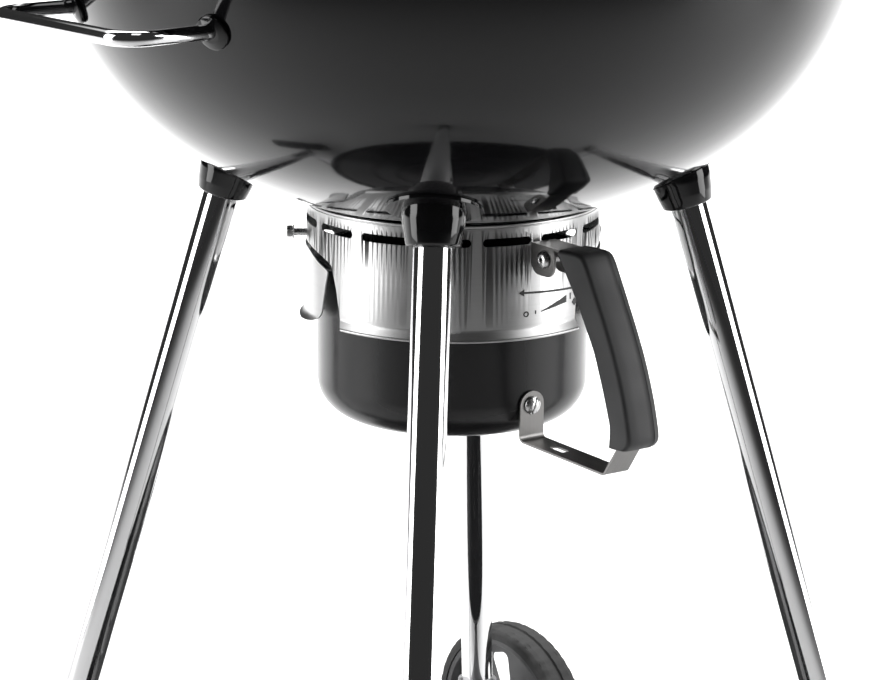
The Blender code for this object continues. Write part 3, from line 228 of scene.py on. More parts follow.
def radial_frame(azimuth, radius, z):
    """Z points out along the azimuth, X runs round the kettle, Y points up."""
    return frame_at(at(azimuth, radius, z), heading(azimuth), heading(azimuth + 90))


def arc(centre, radius, start, end, steps):
    points = []
    for step in range(steps + 1):
        turn = math.radians(start + (end - start) * step / steps)
        points.append((centre[0] + radius * math.cos(turn), centre[1] + radius * math.sin(turn)))
    return points


def obround(length_x, width, steps=8, centre=(0.0, 0.0)):
    half = length_x / 2 - width / 2
    x, y = centre
    return arc((x + half, y), width / 2, -90, 90, steps) + arc((x - half, y), width / 2, 90, 270, steps)


def eased(points, steps=3, closed=True):
    """The outline with each corner rounded by its third number, where it has one."""
    count = len(points)
    out = []
    for index, corner in enumerate(points):
        ease = corner[2] if len(corner) > 2 else 0
        here = Vector(corner[:2])
        if not ease or (not closed and index in (0, count - 1)):
            out.append(tuple(here))
            continue
        before = Vector(points[index - 1][:2])
        after = Vector(points[(index + 1) % count][:2])
        into = (here - before).normalized()
        ahead = (after - here).normalized()
        bend = into.angle(ahead)
        if bend < 0.02:
            out.append(tuple(here))
            continue
        back = min(ease * math.tan(bend / 2), 0.49 * (here - before).length, 0.49 * (after - here).length)
        radius = back / math.tan(bend / 2)
        start = here - into * back
        inward = (ahead - into).normalized()
        centre = here + inward * radius / math.cos(bend / 2)
        sign = 1 if into.x * ahead.y - into.y * ahead.x > 0 else -1
        for step in range(steps + 1):
            turn = Matrix.Rotation(sign * bend * step / steps, 2)
            out.append(tuple(centre + turn @ (start - centre)))
    return out


class Shell:
    """A turned skin made of a dish arc and a side arc that meet smoothly."""

    def __init__(self, radius, dish_r, side_r, pole_z, up):
        self.dish_r = dish_r
        self.side_r = side_r
        self.up = up
        self.knuckle = radius - side_r
        self.dish_centre = pole_z + up * dish_r
        lift = math.sqrt((dish_r - side_r) ** 2 - self.knuckle**2)
        self.side_centre = self.dish_centre - up * lift
        self.turn = math.asin(self.knuckle / (dish_r - side_r))

    def height(self, radius, inset=0.0):
        dish = self.dish_r - inset
        if radius <= dish * math.sin(self.turn):
            return self.dish_centre - self.up * math.sqrt(dish**2 - radius**2)
        side = self.side_r - inset
        return self.side_centre - self.up * math.sqrt(side**2 - (radius - self.knuckle) ** 2)

    def radius(self, z, inset=0.0):
        side = self.side_r - inset
        off_side = abs(z - self.side_centre)
        if off_side < side:
            wide = self.knuckle + math.sqrt(side**2 - off_side**2)
            if wide > (self.dish_r - inset) * math.sin(self.turn):
                return wide
        return math.sqrt((self.dish_r - inset) ** 2 - (z - self.dish_centre) ** 2)

    def profile(self, end_z, inset=0.0, start_r=0.0, dish_steps=18, side_steps=20):
        """Points (radius, z) from start_r, near the pole, to the height end_z."""
        dish = self.dish_r - inset
        side = self.side_r - inset
        first = math.asin(start_r / dish)
        last = math.pi / 2 - math.asin(self.up * (self.side_centre - end_z) / side)
        points = []
        for step in range(dish_steps + 1):
            turn = first + (self.turn - first) * step / dish_steps
            points.append((dish * math.sin(turn), self.dish_centre - self.up * dish * math.cos(turn)))
        for step in range(1, side_steps + 1):
            turn = self.turn + (last - self.turn) * step / side_steps
            points.append(
                (self.knuckle + side * math.sin(turn), self.side_centre - self.up * side * math.cos(turn))
            )
        return points

    def lean(self, radius):
        """Degrees that the outward normal leans away from the axis."""
        if radius <= self.dish_r * math.sin(self.turn):
            return math.degrees(math.asin(radius / self.dish_r))
        return math.degrees(math.asin((radius - self.knuckle) / self.side_r))


def bowl_shell():
    size = sizes("kettle")
    return Shell(size.bowl_radius, size.bowl_dish, size.bowl_side, POLE_Z, 1)


def lid_shell():
    size = sizes("kettle")
    return Shell(size.lid_radius, size.lid_dish, size.lid_side, LID_TOP_Z, -1)


def on_shell(shell, azimuth, radius, lift=0.0):
    """Stands on the shell's outer face: Z along its normal, X round the kettle."""
    lean = math.radians(shell.lean(radius))
    normal = heading(azimuth) * math.sin(lean) + Vector((0, 0, -shell.up * math.cos(lean)))
    foot = at(azimuth, radius, shell.height(radius)) + normal * lift
    return frame_at(foot, normal, heading(azimuth + 90))


def leg_radius(z):
    size = sizes("legs")
    return size.at_slots + size.splay * (SLOT_Z - z)


def leg_frame(azimuth, z):
    """On the leg's centre line at height z, with Z down along the leg."""
    down = heading(azimuth) * sizes("legs").splay + Vector((0, 0, -1))
    return frame_at(at(azimuth, leg_radius(z), z), down, heading(azimuth + 90))


def collar_top_z():
    """The height where a leg's centre line meets the bowl."""
    z = SLOT_Z
    for _ in range(40):
        z = bowl_shell().height(leg_radius(z))
    return z


# ---------------------------------------------------------------- mesh building


def lathe(outline, steps=96, closed=True):
    """An outline (radius, z) turned about Z, with a UV map in metres: round, then along the outline."""
    bm = bmesh.new()
    uv = bm.loops.layers.uv.new("UVMap")
    widest = max(radius for radius, _ in outline)
    rings = []
    for radius, z in outline:
        if radius < 1e-7:
            rings.append([bm.verts.new((0, 0, z))])
            continue
        turns = [math.tau * step / steps for step in range(steps)]
        rings.append([bm.verts.new((radius * math.cos(turn), radius * math.sin(turn), z)) for turn in turns])
    run = 0.0
    pairs = list(zip(outline, outline[1:]))
    if closed:
        pairs.append((outline[-1], outline[0]))
    for index, (first, second) in enumerate(pairs):
        low, high = rings[index], rings[(index + 1) % len(rings)]
        long = math.dist(first, second)
        if len(low) == 1 and len(high) == 1:
            run += long
            continue
        for step in range(steps):
            after = (step + 1) % steps
            corners = []
            for ring, spot, v in (
                (low, step, run),
                (low, after, run),
                (high, after, run + long),
                (high, step, run + long),
            ):
                if len(ring) == 1 and corners and corners[-1][0] is ring[0]:
                    continue
                u = (step if spot == step else step + 1) / steps * math.tau * widest
                corners.append((ring[spot % len(ring)], (u, v)))
            if corners[0][0] is corners[-1][0]:
                corners.pop()
            face = bm.faces.new([vert for vert, _ in corners])
            for loop, (_, place) in zip(face.loops, corners):
                loop[uv].uv = place
        run += long
    bmesh.ops.recalc_face_normals(bm, faces=bm.faces)
    return bm


def swept(sections, spans, closed=True):
    """Closed loops of points joined in turn, ends capped, UVs in metres: round the loop, then along it."""
    bm = bmesh.new()
    uv = bm.loops.layers.uv.new("UVMap")
    loops = [[bm.verts.new(point) for point in section] for section in sections]
    count = len(sections[0])
    round_by = [0.0]
    for index in range(count):
        round_by.append(
            round_by[-1] + (Vector(sections[0][index]) - Vector(sections[0][(index + 1) % count])).length
        )
    for row, (first, second) in enumerate(zip(loops, loops[1:])):
        for index in range(count):
            after = (index + 1) % count
            face = bm.faces.new((first[index], first[after], second[after], second[index]))
            places = (
                (round_by[index], spans[row]),
                (round_by[index + 1], spans[row]),
                (round_by[index + 1], spans[row + 1]),
                (round_by[index], spans[row + 1]),
            )
            for loop, place in zip(face.loops, places):
                loop[uv].uv = place
    if closed:
        bm.faces.new(loops[0])
        bm.faces.new(loops[-1])
    bmesh.ops.recalc_face_normals(bm, faces=bm.faces)
    return bm


def prism(outline, low, high):
    bm = bmesh.new()
    face = bm.faces.new([bm.verts.new((x, y, low)) for x, y in outline])
    grown = bmesh.ops.extrude_face_region(bm, geom=[face])
    moved = [item for item in grown["geom"] if isinstance(item, bmesh.types.BMVert)]
    bmesh.ops.translate(bm, verts=moved, vec=(0, 0, high - low))
    bmesh.ops.recalc_face_normals(bm, faces=bm.faces)
    return bm


def piece(name, bm, finish, body, place=None, stands_for=(), sharp=35):
    """Links the finished mesh, shades it and hangs it on its body."""
    mesh = bpy.data.meshes.new(name)
    bm.to_mesh(mesh)
    bm.free()
    mesh.shade_smooth()
    mesh.set_sharp_from_angle(angle=math.radians(sharp))
    made = bpy.data.objects.new(name, mesh)
    bpy.context.scene.collection.objects.link(made)
    mesh.materials.append(finish)
    if place is not None:
        made.matrix_world = place
    bpy.context.view_layer.update()
    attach(made, body)
    if stands_for:
        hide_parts(*stands_for)
    return made


def carve(obj, cutters, operation="DIFFERENCE"):
    """Cuts the cutter meshes, given as (bmesh, placement), out of a piece and keeps only the result."""
    made = []
    for bm, place in cutters:
        bmesh.ops.recalc_face_normals(bm, faces=bm.faces)
        mesh = bpy.data.meshes.new("cutter")
        bm.to_mesh(mesh)
        bm.free()
        cutter = bpy.data.objects.new("cutter", mesh)
        bpy.context.scene.collection.objects.link(cutter)
        cutter.matrix_world = place
        made.append(cutter)
        cut = obj.modifiers.new("cut", "BOOLEAN")
        cut.operation = operation
        cut.solver = "EXACT"
        cut.object = cutter
    bpy.context.view_layer.update()
    graph = bpy.context.evaluated_depsgraph_get()
    mesh = bpy.data.meshes.new_from_object(obj.evaluated_get(graph))
    obj.modifiers.clear()
    old = obj.data
    mesh.name = old.name
    obj.data = mesh
    bpy.data.meshes.remove(old)
    for cutter in made:
        mesh = cutter.data
        bpy.data.objects.remove(cutter, do_unlink=True)
        bpy.data.meshes.remove(mesh)
    return obj


def soften(obj, width, limit=40, segments=2):
    """Rounds the edges that a cut left, then fixes the shading of the faces beside them."""
    bevel = obj.modifiers.new("soften", "BEVEL")
    bevel.width = width
    bevel.segments = segments
    bevel.limit_method = "ANGLE"
    bevel.angle_limit = math.radians(limit)
    weigh = obj.modifiers.new("weigh", "WEIGHTED_NORMAL")
    weigh.keep_sharp = True
    bpy.context.view_layer.update()
    graph = bpy.context.evaluated_depsgraph_get()
    mesh = bpy.data.meshes.new_from_object(obj.evaluated_get(graph))
    obj.modifiers.clear()
    old = obj.data
    mesh.name = old.name
    obj.data = mesh
    bpy.data.meshes.remove(old)
    return obj


def spun_pin(radius, low, high, steps=32):
    return lathe([(0, low), (radius, low), (radius, high), (0, high)], steps, closed=False)


def hexagon(across_corners):
    return arc((0, 0), across_corners, 0, 300, 5)


def chamfered_hex(across_corners, low, high, bore=0.0):
    """A hexagon nut or head: its corners are turned down top and bottom."""
    chamfer = across_corners * 0.10
    sides = 96
    flat = across_corners * math.cos(math.radians(30))
    bm = bmesh.new()
    rows = []
    for z, drop in ((low, 1.0), (low + chamfer, 0.0), (high - chamfer, 0.0), (high, 1.0)):
        ring = []
        for step in range(sides):
            turn = math.tau * step / sides
            off = (turn + math.pi / 6) % (math.pi / 3) - math.pi / 6
            reach = flat / math.cos(off)
            lid = across_corners - drop * chamfer * 1.4
            ring.append(bm.verts.new((min(reach, lid) * math.cos(turn), min(reach, lid) * math.sin(turn), z)))
        rows.append(ring)
    for first, second in zip(rows, rows[1:]):
        for step in range(sides):
            after = (step + 1) % sides
            bm.faces.new((first[step], first[after], second[after], second[step]))
    if bore:
        inner = []
        for z in (low, high):
            turns = [math.tau * step / sides for step in range(sides)]
            inner.append([bm.verts.new((bore * math.cos(turn), bore * math.sin(turn), z)) for turn in turns])
        for step in range(sides):
            after = (step + 1) % sides
            bm.faces.new((rows[0][step], rows[0][after], inner[0][after], inner[0][step]))
            bm.faces.new((rows[-1][step], rows[-1][after], inner[1][after], inner[1][step]))
            bm.faces.new((inner[0][step], inner[0][after], inner[1][after], inner[1][step]))
    else:
        bm.faces.new(rows[0])
        bm.faces.new(rows[-1])
    bmesh.ops.recalc_face_normals(bm, faces=bm.faces)
    return bm


def threaded(radius, low, high, pitch=0.0008, tip=0.0004):
    """A turned outline from low to high with a fine thread, as points (radius, z)."""
    points = [(0, low), (radius - tip, low), (radius, low + tip)]
    z = low + tip
    while z + pitch < high:
        points += [(radius - pitch * 0.45, z + pitch / 2), (radius, z + pitch)]
        z += pitch
    return points + [(radius, high)]


def filleted(points, radius, steps=6):
    """The path through these points with round corners of this radius."""
    path = [Vector(points[0])]
    for before, corner, after in zip(points, points[1:], points[2:]):
        before, corner, after = Vector(before), Vector(corner), Vector(after)
        into = (corner - before).normalized()
        out = (after - corner).normalized()
        bend = into.angle(out)
        start = corner - into * radius * math.tan(bend / 2)
        centre = corner + (out - into).normalized() * radius / math.cos(bend / 2)
        axis = into.cross(out).normalized()
        for step in range(steps + 1):
            path.append(centre + Matrix.Rotation(bend * step / steps, 3, axis) @ (start - centre))
    path.append(Vector(points[-1]))
    return path


def rod(path, radius, side, sides=24):
    """A round bar along a path, its ends eased; side is a direction that the path never follows."""
    sections = []
    spans = []
    run = 0.0
    side = Vector(side)
    ends = {0: 1, len(path) - 1: -1}
    for index, point in enumerate(path):
        ahead = (path[min(index + 1, len(path) - 1)] - path[max(index - 1, 0)]).normalized()
        across = side.cross(ahead).normalized()
        above = ahead.cross(across)
        if index:
            run += (point - path[index - 1]).length
        rings = [(0.0, 1.0)]
        if index in ends:
            ease = radius * 0.3
            rings = [(0.0, 0.7), (ease * 0.3, 0.91), (ease, 1.0)]
            if ends[index] < 0:
                rings = [(-back, share) for back, share in rings[::-1]]
        for back, share in rings:
            ring = []
            for step in range(sides):
                turn = math.tau * step / sides
                off = across * math.cos(turn) + above * math.sin(turn)
                ring.append(point + ahead * back + off * radius * share)
            sections.append(ring)
            spans.append(run + back)
    return swept(sections, spans)


# ---------------------------------------------------------------- finishes


class Nodes:
    """A material's nodes, added and linked by short calls."""

    def __init__(self, name, colour, roughness, metallic=0.0):
        self.material = bpy.data.materials.get(name) or bpy.data.materials.new(name)
        self.material.use_nodes = True
        self.tree = self.material.node_tree
        self.shader = self.tree.nodes["Principled BSDF"]
        self.set("Base Color", (*colour, 1.0))
        self.set("Roughness", roughness)
        self.set("Metallic", metallic)

    def set(self, socket, value):
        self.shader.inputs[socket].default_value = value

    def add(self, kind, **values):
        made = self.tree.nodes.new(kind)
        for key, value in values.items():
            if key in made.inputs:
                made.inputs[key].default_value = value
            else:
                setattr(made, key, value)
        return made

    def link(self, source, target):
        self.tree.links.new(source, target)

    def place(self, kind="Object", scale=(1, 1, 1)):
        """The surface's own coordinates, stretched by scale."""
        source = self.add("ShaderNodeTexCoord")
        stretch = self.add("ShaderNodeMapping")
        stretch.inputs["Scale"].default_value = scale
        self.link(source.outputs[kind], stretch.inputs["Vector"])
        return stretch.outputs["Vector"]

    def noise(self, vector, scale, detail=4.0, roughness=0.55):
        made = self.add("ShaderNodeTexNoise", Scale=scale, Detail=detail, Roughness=roughness)
        self.link(vector, made.inputs["Vector"])
        return made.outputs["Fac"]

    def between(self, value, low, high, start=0.3, end=0.7):
        """Maps a value that runs from start to end onto low to high."""
        made = self.add("ShaderNodeMapRange")
        made.inputs["From Min"].default_value = start
        made.inputs["From Max"].default_value = end
        made.inputs["To Min"].default_value = low
        made.inputs["To Max"].default_value = high
        self.link(value, made.inputs["Value"])
        return made.outputs["Result"]

    def mix(self, share, first, second):
        """A colour between two colours, or two linked ones."""
        made = self.add("ShaderNodeMix", data_type="RGBA")
        self.link(share, made.inputs["Factor"])
        for socket, colour in (("A", first), ("B", second)):
            target = [item for item in made.inputs if item.name == socket and item.type == "RGBA"][0]
            if isinstance(colour, bpy.types.NodeSocket):
                self.link(colour, target)
            else:
                target.default_value = (*colour, 1.0)
        return [item for item in made.outputs if item.type == "RGBA"][0]

    def bump(self, height, strength, distance):
        made = self.add("ShaderNodeBump", Strength=strength, Distance=distance)
        self.link(height, made.inputs["Height"])
        self.link(made.outputs["Normal"], self.shader.inputs["Normal"])
        return made.outputs["Normal"]

    def painted_edge_highlight(self, radius, start=0.02, end=0.25):
        """How much a spot is on a sharp outside edge, where a highlight is painted: a bevelled normal leaves the true
        one there.
        """
        soft = self.add("ShaderNodeBevel", Radius=radius)
        soft.samples = 4
        true = self.add("ShaderNodeNewGeometry")
        dot = self.add("ShaderNodeVectorMath", operation="DOT_PRODUCT")
        self.link(soft.outputs["Normal"], dot.inputs[0])
        self.link(true.outputs["Normal"], dot.inputs[1])
        return self.between(dot.outputs["Value"], 1.0, 0.0, 1.0 - end, 1.0 - start)

    def roughness(self, value):
        self.link(value, self.shader.inputs["Roughness"])

    def colour(self, value):
        self.link(value, self.shader.inputs["Base Color"])


def scaled(colour, share):
    return tuple(min(channel * share, 1.0) for channel in colour)


def enamel_black():
    """Fused porcelain: deep gloss with a faint ripple, a little duller where hands and ash have been."""
    nodes = Nodes("enamel_black", sizes("finishes").enamel, 0.07)
    nodes.set("Specular IOR Level", 0.35)
    nodes.set("Coat Weight", 0.15)
    nodes.set("Coat Roughness", 0.03)
    place = nodes.place()
    haze = nodes.noise(place, 9.0, 5.0)
    nodes.roughness(nodes.between(haze, 0.05, 0.11))
    ripple = nodes.noise(place, 160.0, 2.0)
    nodes.bump(ripple, 0.10, 0.0002)
    return nodes.material


def enamel_pan():
    """Thinner black enamel, half gloss, with a fine orange peel."""
    nodes = Nodes("enamel_pan", sizes("finishes").pan, 0.22)
    nodes.set("Specular IOR Level", 0.3)
    nodes.set("Coat Weight", 0.05)
    nodes.set("Coat Roughness", 0.14)
    place = nodes.place()
    haze = nodes.noise(place, 14.0, 5.0)
    nodes.roughness(nodes.between(haze, 0.18, 0.28))
    peel = nodes.noise(place, 650.0, 2.0)
    nodes.bump(peel, 0.18, 0.0001)
    return nodes.material


def tube_chrome():
    """Bright plate with faint drawing lines along the tube and a breath of haze."""
    nodes = Nodes("tube_chrome", sizes("finishes").chrome, 0.06, 1.0)
    lines = nodes.noise(nodes.place("UV", (900.0, 6.0, 1.0)), 1.0, 3.0)
    haze = nodes.noise(nodes.place("Object"), 22.0, 4.0)
    both = nodes.add("ShaderNodeMath", operation="MULTIPLY")
    nodes.link(lines, both.inputs[0])
    nodes.link(haze, both.inputs[1])
    nodes.roughness(nodes.between(both.outputs[0], 0.035, 0.10, 0.12, 0.4))
    nodes.bump(lines, 0.03, 0.00005)
    return nodes.material


def brushed(name, colour, roughness, along=(3.0, 2600.0, 1.0), spread=0.09, anisotropy=0.65):
    """Sheet brushed along its U direction, with the tone wandering a little between the strokes."""
    nodes = Nodes(name, colour, roughness, 1.0)
    nodes.set("Anisotropic", anisotropy)
    tangent = nodes.add("ShaderNodeTangent", direction_type="UV_MAP")
    tangent.uv_map = "UVMap"
    nodes.link(tangent.outputs["Tangent"], nodes.shader.inputs["Tangent"])
    fine = nodes.noise(nodes.place("UV", along), 1.0, 3.0, 0.7)
    broad = nodes.noise(nodes.place("UV", (along[0] * 2, along[1] / 12, 1.0)), 1.0, 3.0)
    nodes.roughness(nodes.between(fine, roughness - spread, roughness + spread))
    tone = nodes.mix(broad, scaled(colour, 0.94), scaled(colour, 1.05))
    streak = nodes.mix(nodes.between(fine, 0.0, 0.6), tone, scaled(colour, 0.86))
    nodes.colour(streak)
    nodes.bump(fine, 0.10, 0.00004)
    return nodes.material


def band_stainless():
    return brushed("band_stainless", sizes("finishes").stainless, 0.32, spread=0.04, anisotropy=0.4)


def strap_steel():
    return brushed("strap_steel", sizes("finishes").strap, 0.36, (1800.0, 5.0, 1.0), 0.10, 0.5)


def screw_steel():
    """Turned and tumbled steel, with a painted highlight that makes it brighter on its corners."""
    colour = sizes("finishes").screw
    nodes = Nodes("screw_steel", colour, 0.24, 1.0)
    place = nodes.place()
    grain = nodes.noise(place, 900.0, 3.0)
    nodes.roughness(nodes.between(grain, 0.17, 0.34))
    edges = nodes.painted_edge_highlight(0.0005)
    # painted highlight: the base colour is lighter along edges and corners
    nodes.colour(nodes.mix(edges, colour, scaled(colour, 1.45)))
    nodes.bump(grain, 0.12, 0.00005)
    return nodes.material


def grip_black():
    """Moulded nylon: fine spark texture, with a painted highlight that makes it paler on its edges."""
    colour = sizes("finishes").grip
    nodes = Nodes("grip_black", colour, 0.52)
    nodes.set("Specular IOR Level", 0.45)
    place = nodes.place()
    grain = nodes.noise(place, 1500.0, 3.0, 0.6)
    patches = nodes.noise(place, 28.0, 4.0)
    nodes.roughness(nodes.between(patches, 0.44, 0.60))
    edges = nodes.painted_edge_highlight(0.0016, 0.03, 0.35)
    tone = nodes.mix(patches, scaled(colour, 0.8), scaled(colour, 1.5))
    # painted highlight: the base colour is paler along the grip's edges
    nodes.colour(nodes.mix(edges, tone, scaled(colour, 2.6)))
    nodes.bump(grain, 0.35, 0.00018)
    return nodes.material


def rubber_black():
    colour = sizes("finishes").rubber
    nodes = Nodes("rubber_black", colour, 0.75)
    place = nodes.place()
    dust = nodes.noise(place, 45.0, 6.0)
    nodes.colour(nodes.mix(nodes.between(dust, 0.0, 1.0, 0.45, 0.8), colour, scaled(colour, 3.4)))
    nodes.roughness(nodes.between(dust, 0.62, 0.88))
    nodes.bump(nodes.noise(place, 1100.0, 2.0), 0.25, 0.0001)
    return nodes.material


def wheel_plastic():
    colour = sizes("finishes").wheel
    nodes = Nodes("wheel_plastic", colour, 0.42)
    place = nodes.place()
    edges = nodes.painted_edge_highlight(0.0012, 0.03, 0.3)
    # painted highlight: the base colour is lighter along the wheel's edges
    nodes.colour(nodes.mix(edges, colour, scaled(colour, 2.2)))
    nodes.roughness(nodes.between(nodes.noise(place, 60.0, 4.0), 0.34, 0.52))
    nodes.bump(nodes.noise(place, 900.0, 2.0), 0.22, 0.0001)
    return nodes.material


def iron_black():
    """Seasoned rod: dark, dry and a little rusty in its hollows."""
    colour = sizes("finishes").iron
    nodes = Nodes("iron_black", colour, 0.62, 0.35)
    place = nodes.place()
    rust = nodes.noise(place, 85.0, 8.0, 0.65)
    nodes.colour(nodes.mix(nodes.between(rust, 0.0, 1.0, 0.56, 0.78), colour, (0.10, 0.045, 0.022)))
    nodes.roughness(nodes.between(rust, 0.5, 0.82))
    nodes.bump(nodes.noise(place, 420.0, 6.0), 0.5, 0.0003)
    return nodes.material


def grate_chrome():
    """Plated rod of the cooking grate, gone faintly straw coloured."""
    nodes = Nodes("grate_chrome", (0.66, 0.65, 0.63), 0.2, 1.0)
    place = nodes.place()
    stain = nodes.noise(place, 26.0, 6.0, 0.6)
    nodes.colour(
        nodes.mix(nodes.between(stain, 0.0, 1.0, 0.45, 0.75), (0.66, 0.65, 0.63), (0.46, 0.40, 0.33))
    )
    nodes.roughness(nodes.between(stain, 0.14, 0.34))
    nodes.bump(nodes.noise(place, 700.0, 3.0), 0.12, 0.0001)
    return nodes.material


def plated_steel():
    """Zinc plate: soft blue-grey crystals."""
    colour = sizes("finishes").plated
    nodes = Nodes("plated_steel", colour, 0.34, 1.0)
    place = nodes.place()
    cells = nodes.add("ShaderNodeTexVoronoi", Scale=240.0)
    nodes.link(place, cells.inputs["Vector"])
    nodes.roughness(nodes.between(cells.outputs["Distance"], 0.26, 0.44, 0.0, 0.8))
    cloud = nodes.noise(place, 70.0, 5.0)
    nodes.colour(nodes.mix(cloud, scaled(colour, 0.8), scaled(colour, 1.15)))
    nodes.bump(nodes.noise(place, 800.0, 3.0), 0.12, 0.00008)
    return nodes.material


def dial_white():
    nodes = Nodes("dial_white", (0.82, 0.82, 0.80), 0.45)
    place = nodes.place()
    aged = nodes.noise(place, 60.0, 4.0)
    nodes.colour(nodes.mix(aged, (0.86, 0.86, 0.85), (0.78, 0.77, 0.74)))
    nodes.roughness(nodes.between(aged, 0.38, 0.52))
    return nodes.material


def marking_black():
    nodes = Nodes("marking_black", (0.012, 0.012, 0.012), 0.5)
    nodes.roughness(nodes.between(nodes.noise(nodes.place(), 800.0, 3.0), 0.4, 0.6))
    return nodes.material


def pointer_red():
    nodes = Nodes("pointer_red", (0.50, 0.025, 0.018), 0.35)
    nodes.roughness(nodes.between(nodes.noise(nodes.place(), 500.0, 3.0), 0.3, 0.42))
    return nodes.material


def gauge_glass():
    nodes = Nodes("gauge_glass", (1.0, 1.0, 1.0), 0.02)
    nodes.set("Transmission Weight", 1.0)
    nodes.set("IOR", 1.45)
    nodes.roughness(nodes.between(nodes.noise(nodes.place(), 40.0, 4.0), 0.0, 0.04))
    return nodes.material


# ---------------------------------------------------------------- pieces


def bowl_vent(index, centre_of_first=30.0, sweep=34.0):
    """The plan of one ash vent in the bowl's bottom."""
    centre = centre_of_first + 120 * index
    outer = arc((0, 0), 0.080, centre - sweep / 2, centre + sweep / 2, 12)
    return outer + arc((0, 0), 0.026, centre + sweep / 2, centre - sweep / 2, 8)


class GRILL_OT_bowl(bpy.types.Operator):
    """Turns the bowl with its rolled rim and cuts the ash vents"""

    bl_idname = "grill.bowl"
    bl_label = "Bowl"

    def execute(self, context):
        size = sizes("kettle")
        shell = bowl_shell()
        roll = 0.0022
        outside = shell.profile(RIM_Z - roll * 2)
        inside = shell.profile(RIM_Z - 0.0007, size.wall)
        edge_r = shell.radius(RIM_Z)
        flange = [
            (edge_r, RIM_Z - roll - 0.0008, 0.001),
            (edge_r + size.flange, RIM_Z - roll, 0.0009),
            (edge_r + size.flange, RIM_Z, 0.0009),
            (inside[-1][0], RIM_Z, 0.0008),
        ]
        bowl = lathe(eased(outside + flange + inside[::-1]), size.steps)
        made = piece("bowl_shell", bowl, enamel_black(), "bowl_stand", on_axis(), ["bowl"])
        cutters = [(prism(bowl_vent(index), POLE_Z - 0.01, POLE_Z + 0.03), on_axis()) for index in range(3)]
        cutters.append((spun_pin(0.0053, POLE_Z - 0.01, POLE_Z + 0.01), on_axis()))
        carve(made, cutters)
        return {"FINISHED"}


def collar_outline():
    """A cup's outline along the leg's axis, with its wide soft lower corner."""
    size = sizes("legs")
    bore = size.tube + AIR
    low = size.collar_depth
    return eased(
        [
            (bore, low - 0.0004, 0.0008),
            (size.collar - 0.0035, low, 0.0022),
            (size.collar - 0.0016, low - 0.0085, 0.0090),
            (size.collar, 0.006, 0.02),
            (size.collar, -0.030),
            (0, -0.030),
            (0, 0.008),
            (bore, 0.008),
        ],
        6,
    )


def saucer_outline(shell):
    """A thin plate that follows the bowl's outer face, from the pole out."""
    near = shell.profile(RIM_Z - 0.06, -AIR)
    far = shell.profile(RIM_Z - 0.06, -0.0024)
    return near + far[::-1]


class GRILL_OT_collars(bpy.types.Operator):
    """Makes the enamelled cups and saucers that hold the legs under the bowl"""

    bl_idname = "grill.collars"
    bl_label = "Leg collars"

    def execute(self, context):
        size = sizes("legs")
        shell = bowl_shell()
        top_z = collar_top_z()
        keep_out = shell.profile(RIM_Z, -AIR) + [(0, RIM_Z)]
        for name, azimuth in LEGS.items():
            place = leg_frame(azimuth, top_z)
            cup = lathe(collar_outline(), 96)
            node = f"leg_collar_{name}"
            made = piece(
                f"collar_cup_{name}",
                cup,
                enamel_black(),
                "bowl_stand",
                place,
                [node],
            )
            carve(made, [(lathe(keep_out, 160, False), on_axis())])
            disc = piece(
                f"collar_saucer_{name}",
                lathe(saucer_outline(shell), 160),
                enamel_black(),
                "bowl_stand",
                on_axis(),
            )
            room = lathe([(0, -0.04), (size.saucer, -0.04), (size.saucer, 0.04), (0, 0.04)], 96, False)
            carve(disc, [(room, place)], "INTERSECT")
            carve(disc, [(spun_pin(size.collar - 0.002, -0.05, 0.05, 64), place)])
            soften(disc, 0.0005, 50)
        return {"FINISHED"}


class GRILL_OT_legs(bpy.types.Operator):
    """Draws the four chromed tubes and the moulded feet"""

    bl_idname = "grill.legs"
    bl_label = "Legs and feet"

    def execute(self, context):
        size = sizes("legs")
        top_z = collar_top_z()
        slant = math.sqrt(1 + size.splay**2)
        inner = size.tube - 0.0012
        for name, azimuth in LEGS.items():
            front = name.startswith("front")
            end_z = 0.0044 if front else WHEEL_R - 0.020
            long = (top_z - end_z) * slant
            rows = [0.0085 + (long - 0.0085) * step / 6 for step in range(1, 6)]
            wall = [(size.tube, row) for row in rows]
            ease = 0.0004
            ends = [(inner, 0.0085, ease), (size.tube, 0.0085, ease)] + wall
            tube = lathe(eased(ends + [(size.tube, long, ease), (inner, long, ease)]), 72)
            place = leg_frame(azimuth, top_z)
            node = f"leg_{name}"
            leg = piece(f"leg_tube_{name}", tube, tube_chrome(), "bowl_stand", place, [node])
            if front:
                self.foot(name, place, long)
                continue
            centre = at(azimuth, leg_radius(WHEEL_R), WHEEL_R)
            carve(leg, [(spun_pin(0.0043, -0.05, 0.05), frame_at(centre, (1, 0, 0), (0, 1, 0)))])
        return {"FINISHED"}

    def foot(self, name, place, long):
        inside = sizes("legs").tube + AIR
        outside = inside + 0.0022
        top = long - 0.032
        ribs = []
        for step in range(4):
            ribs += [
                (outside, top + 0.006 + step * 0.003, 0.0003),
                (outside - 0.0005, top + 0.0072 + step * 0.003, 0.0003),
            ]
        outline = [(0, long + AIR), (inside, long + AIR), (inside, top, 0.0004), (outside, top, 0.0010)]
        outline += ribs + [(outside, top + 0.018, 0.0003), (outside, long + 0.03), (0, long + 0.03)]
        foot = lathe(eased(outline), 96)
        bmesh.ops.transform(foot, matrix=place, verts=foot.verts)
        everything = foot.verts[:] + foot.edges[:] + foot.faces[:]
        cut = bmesh.ops.bisect_plane(
            foot, geom=everything, dist=1e-7, plane_co=(0, 0, 0), plane_no=(0, 0, -1), clear_outer=True
        )
        edges = [item for item in cut["geom_cut"] if isinstance(item, bmesh.types.BMEdge)]
        bmesh.ops.edgenet_fill(foot, edges=edges)
        piece(f"foot_cap_{name}", foot, grip_black(), "bowl_stand", None, [f"foot_{name}"])


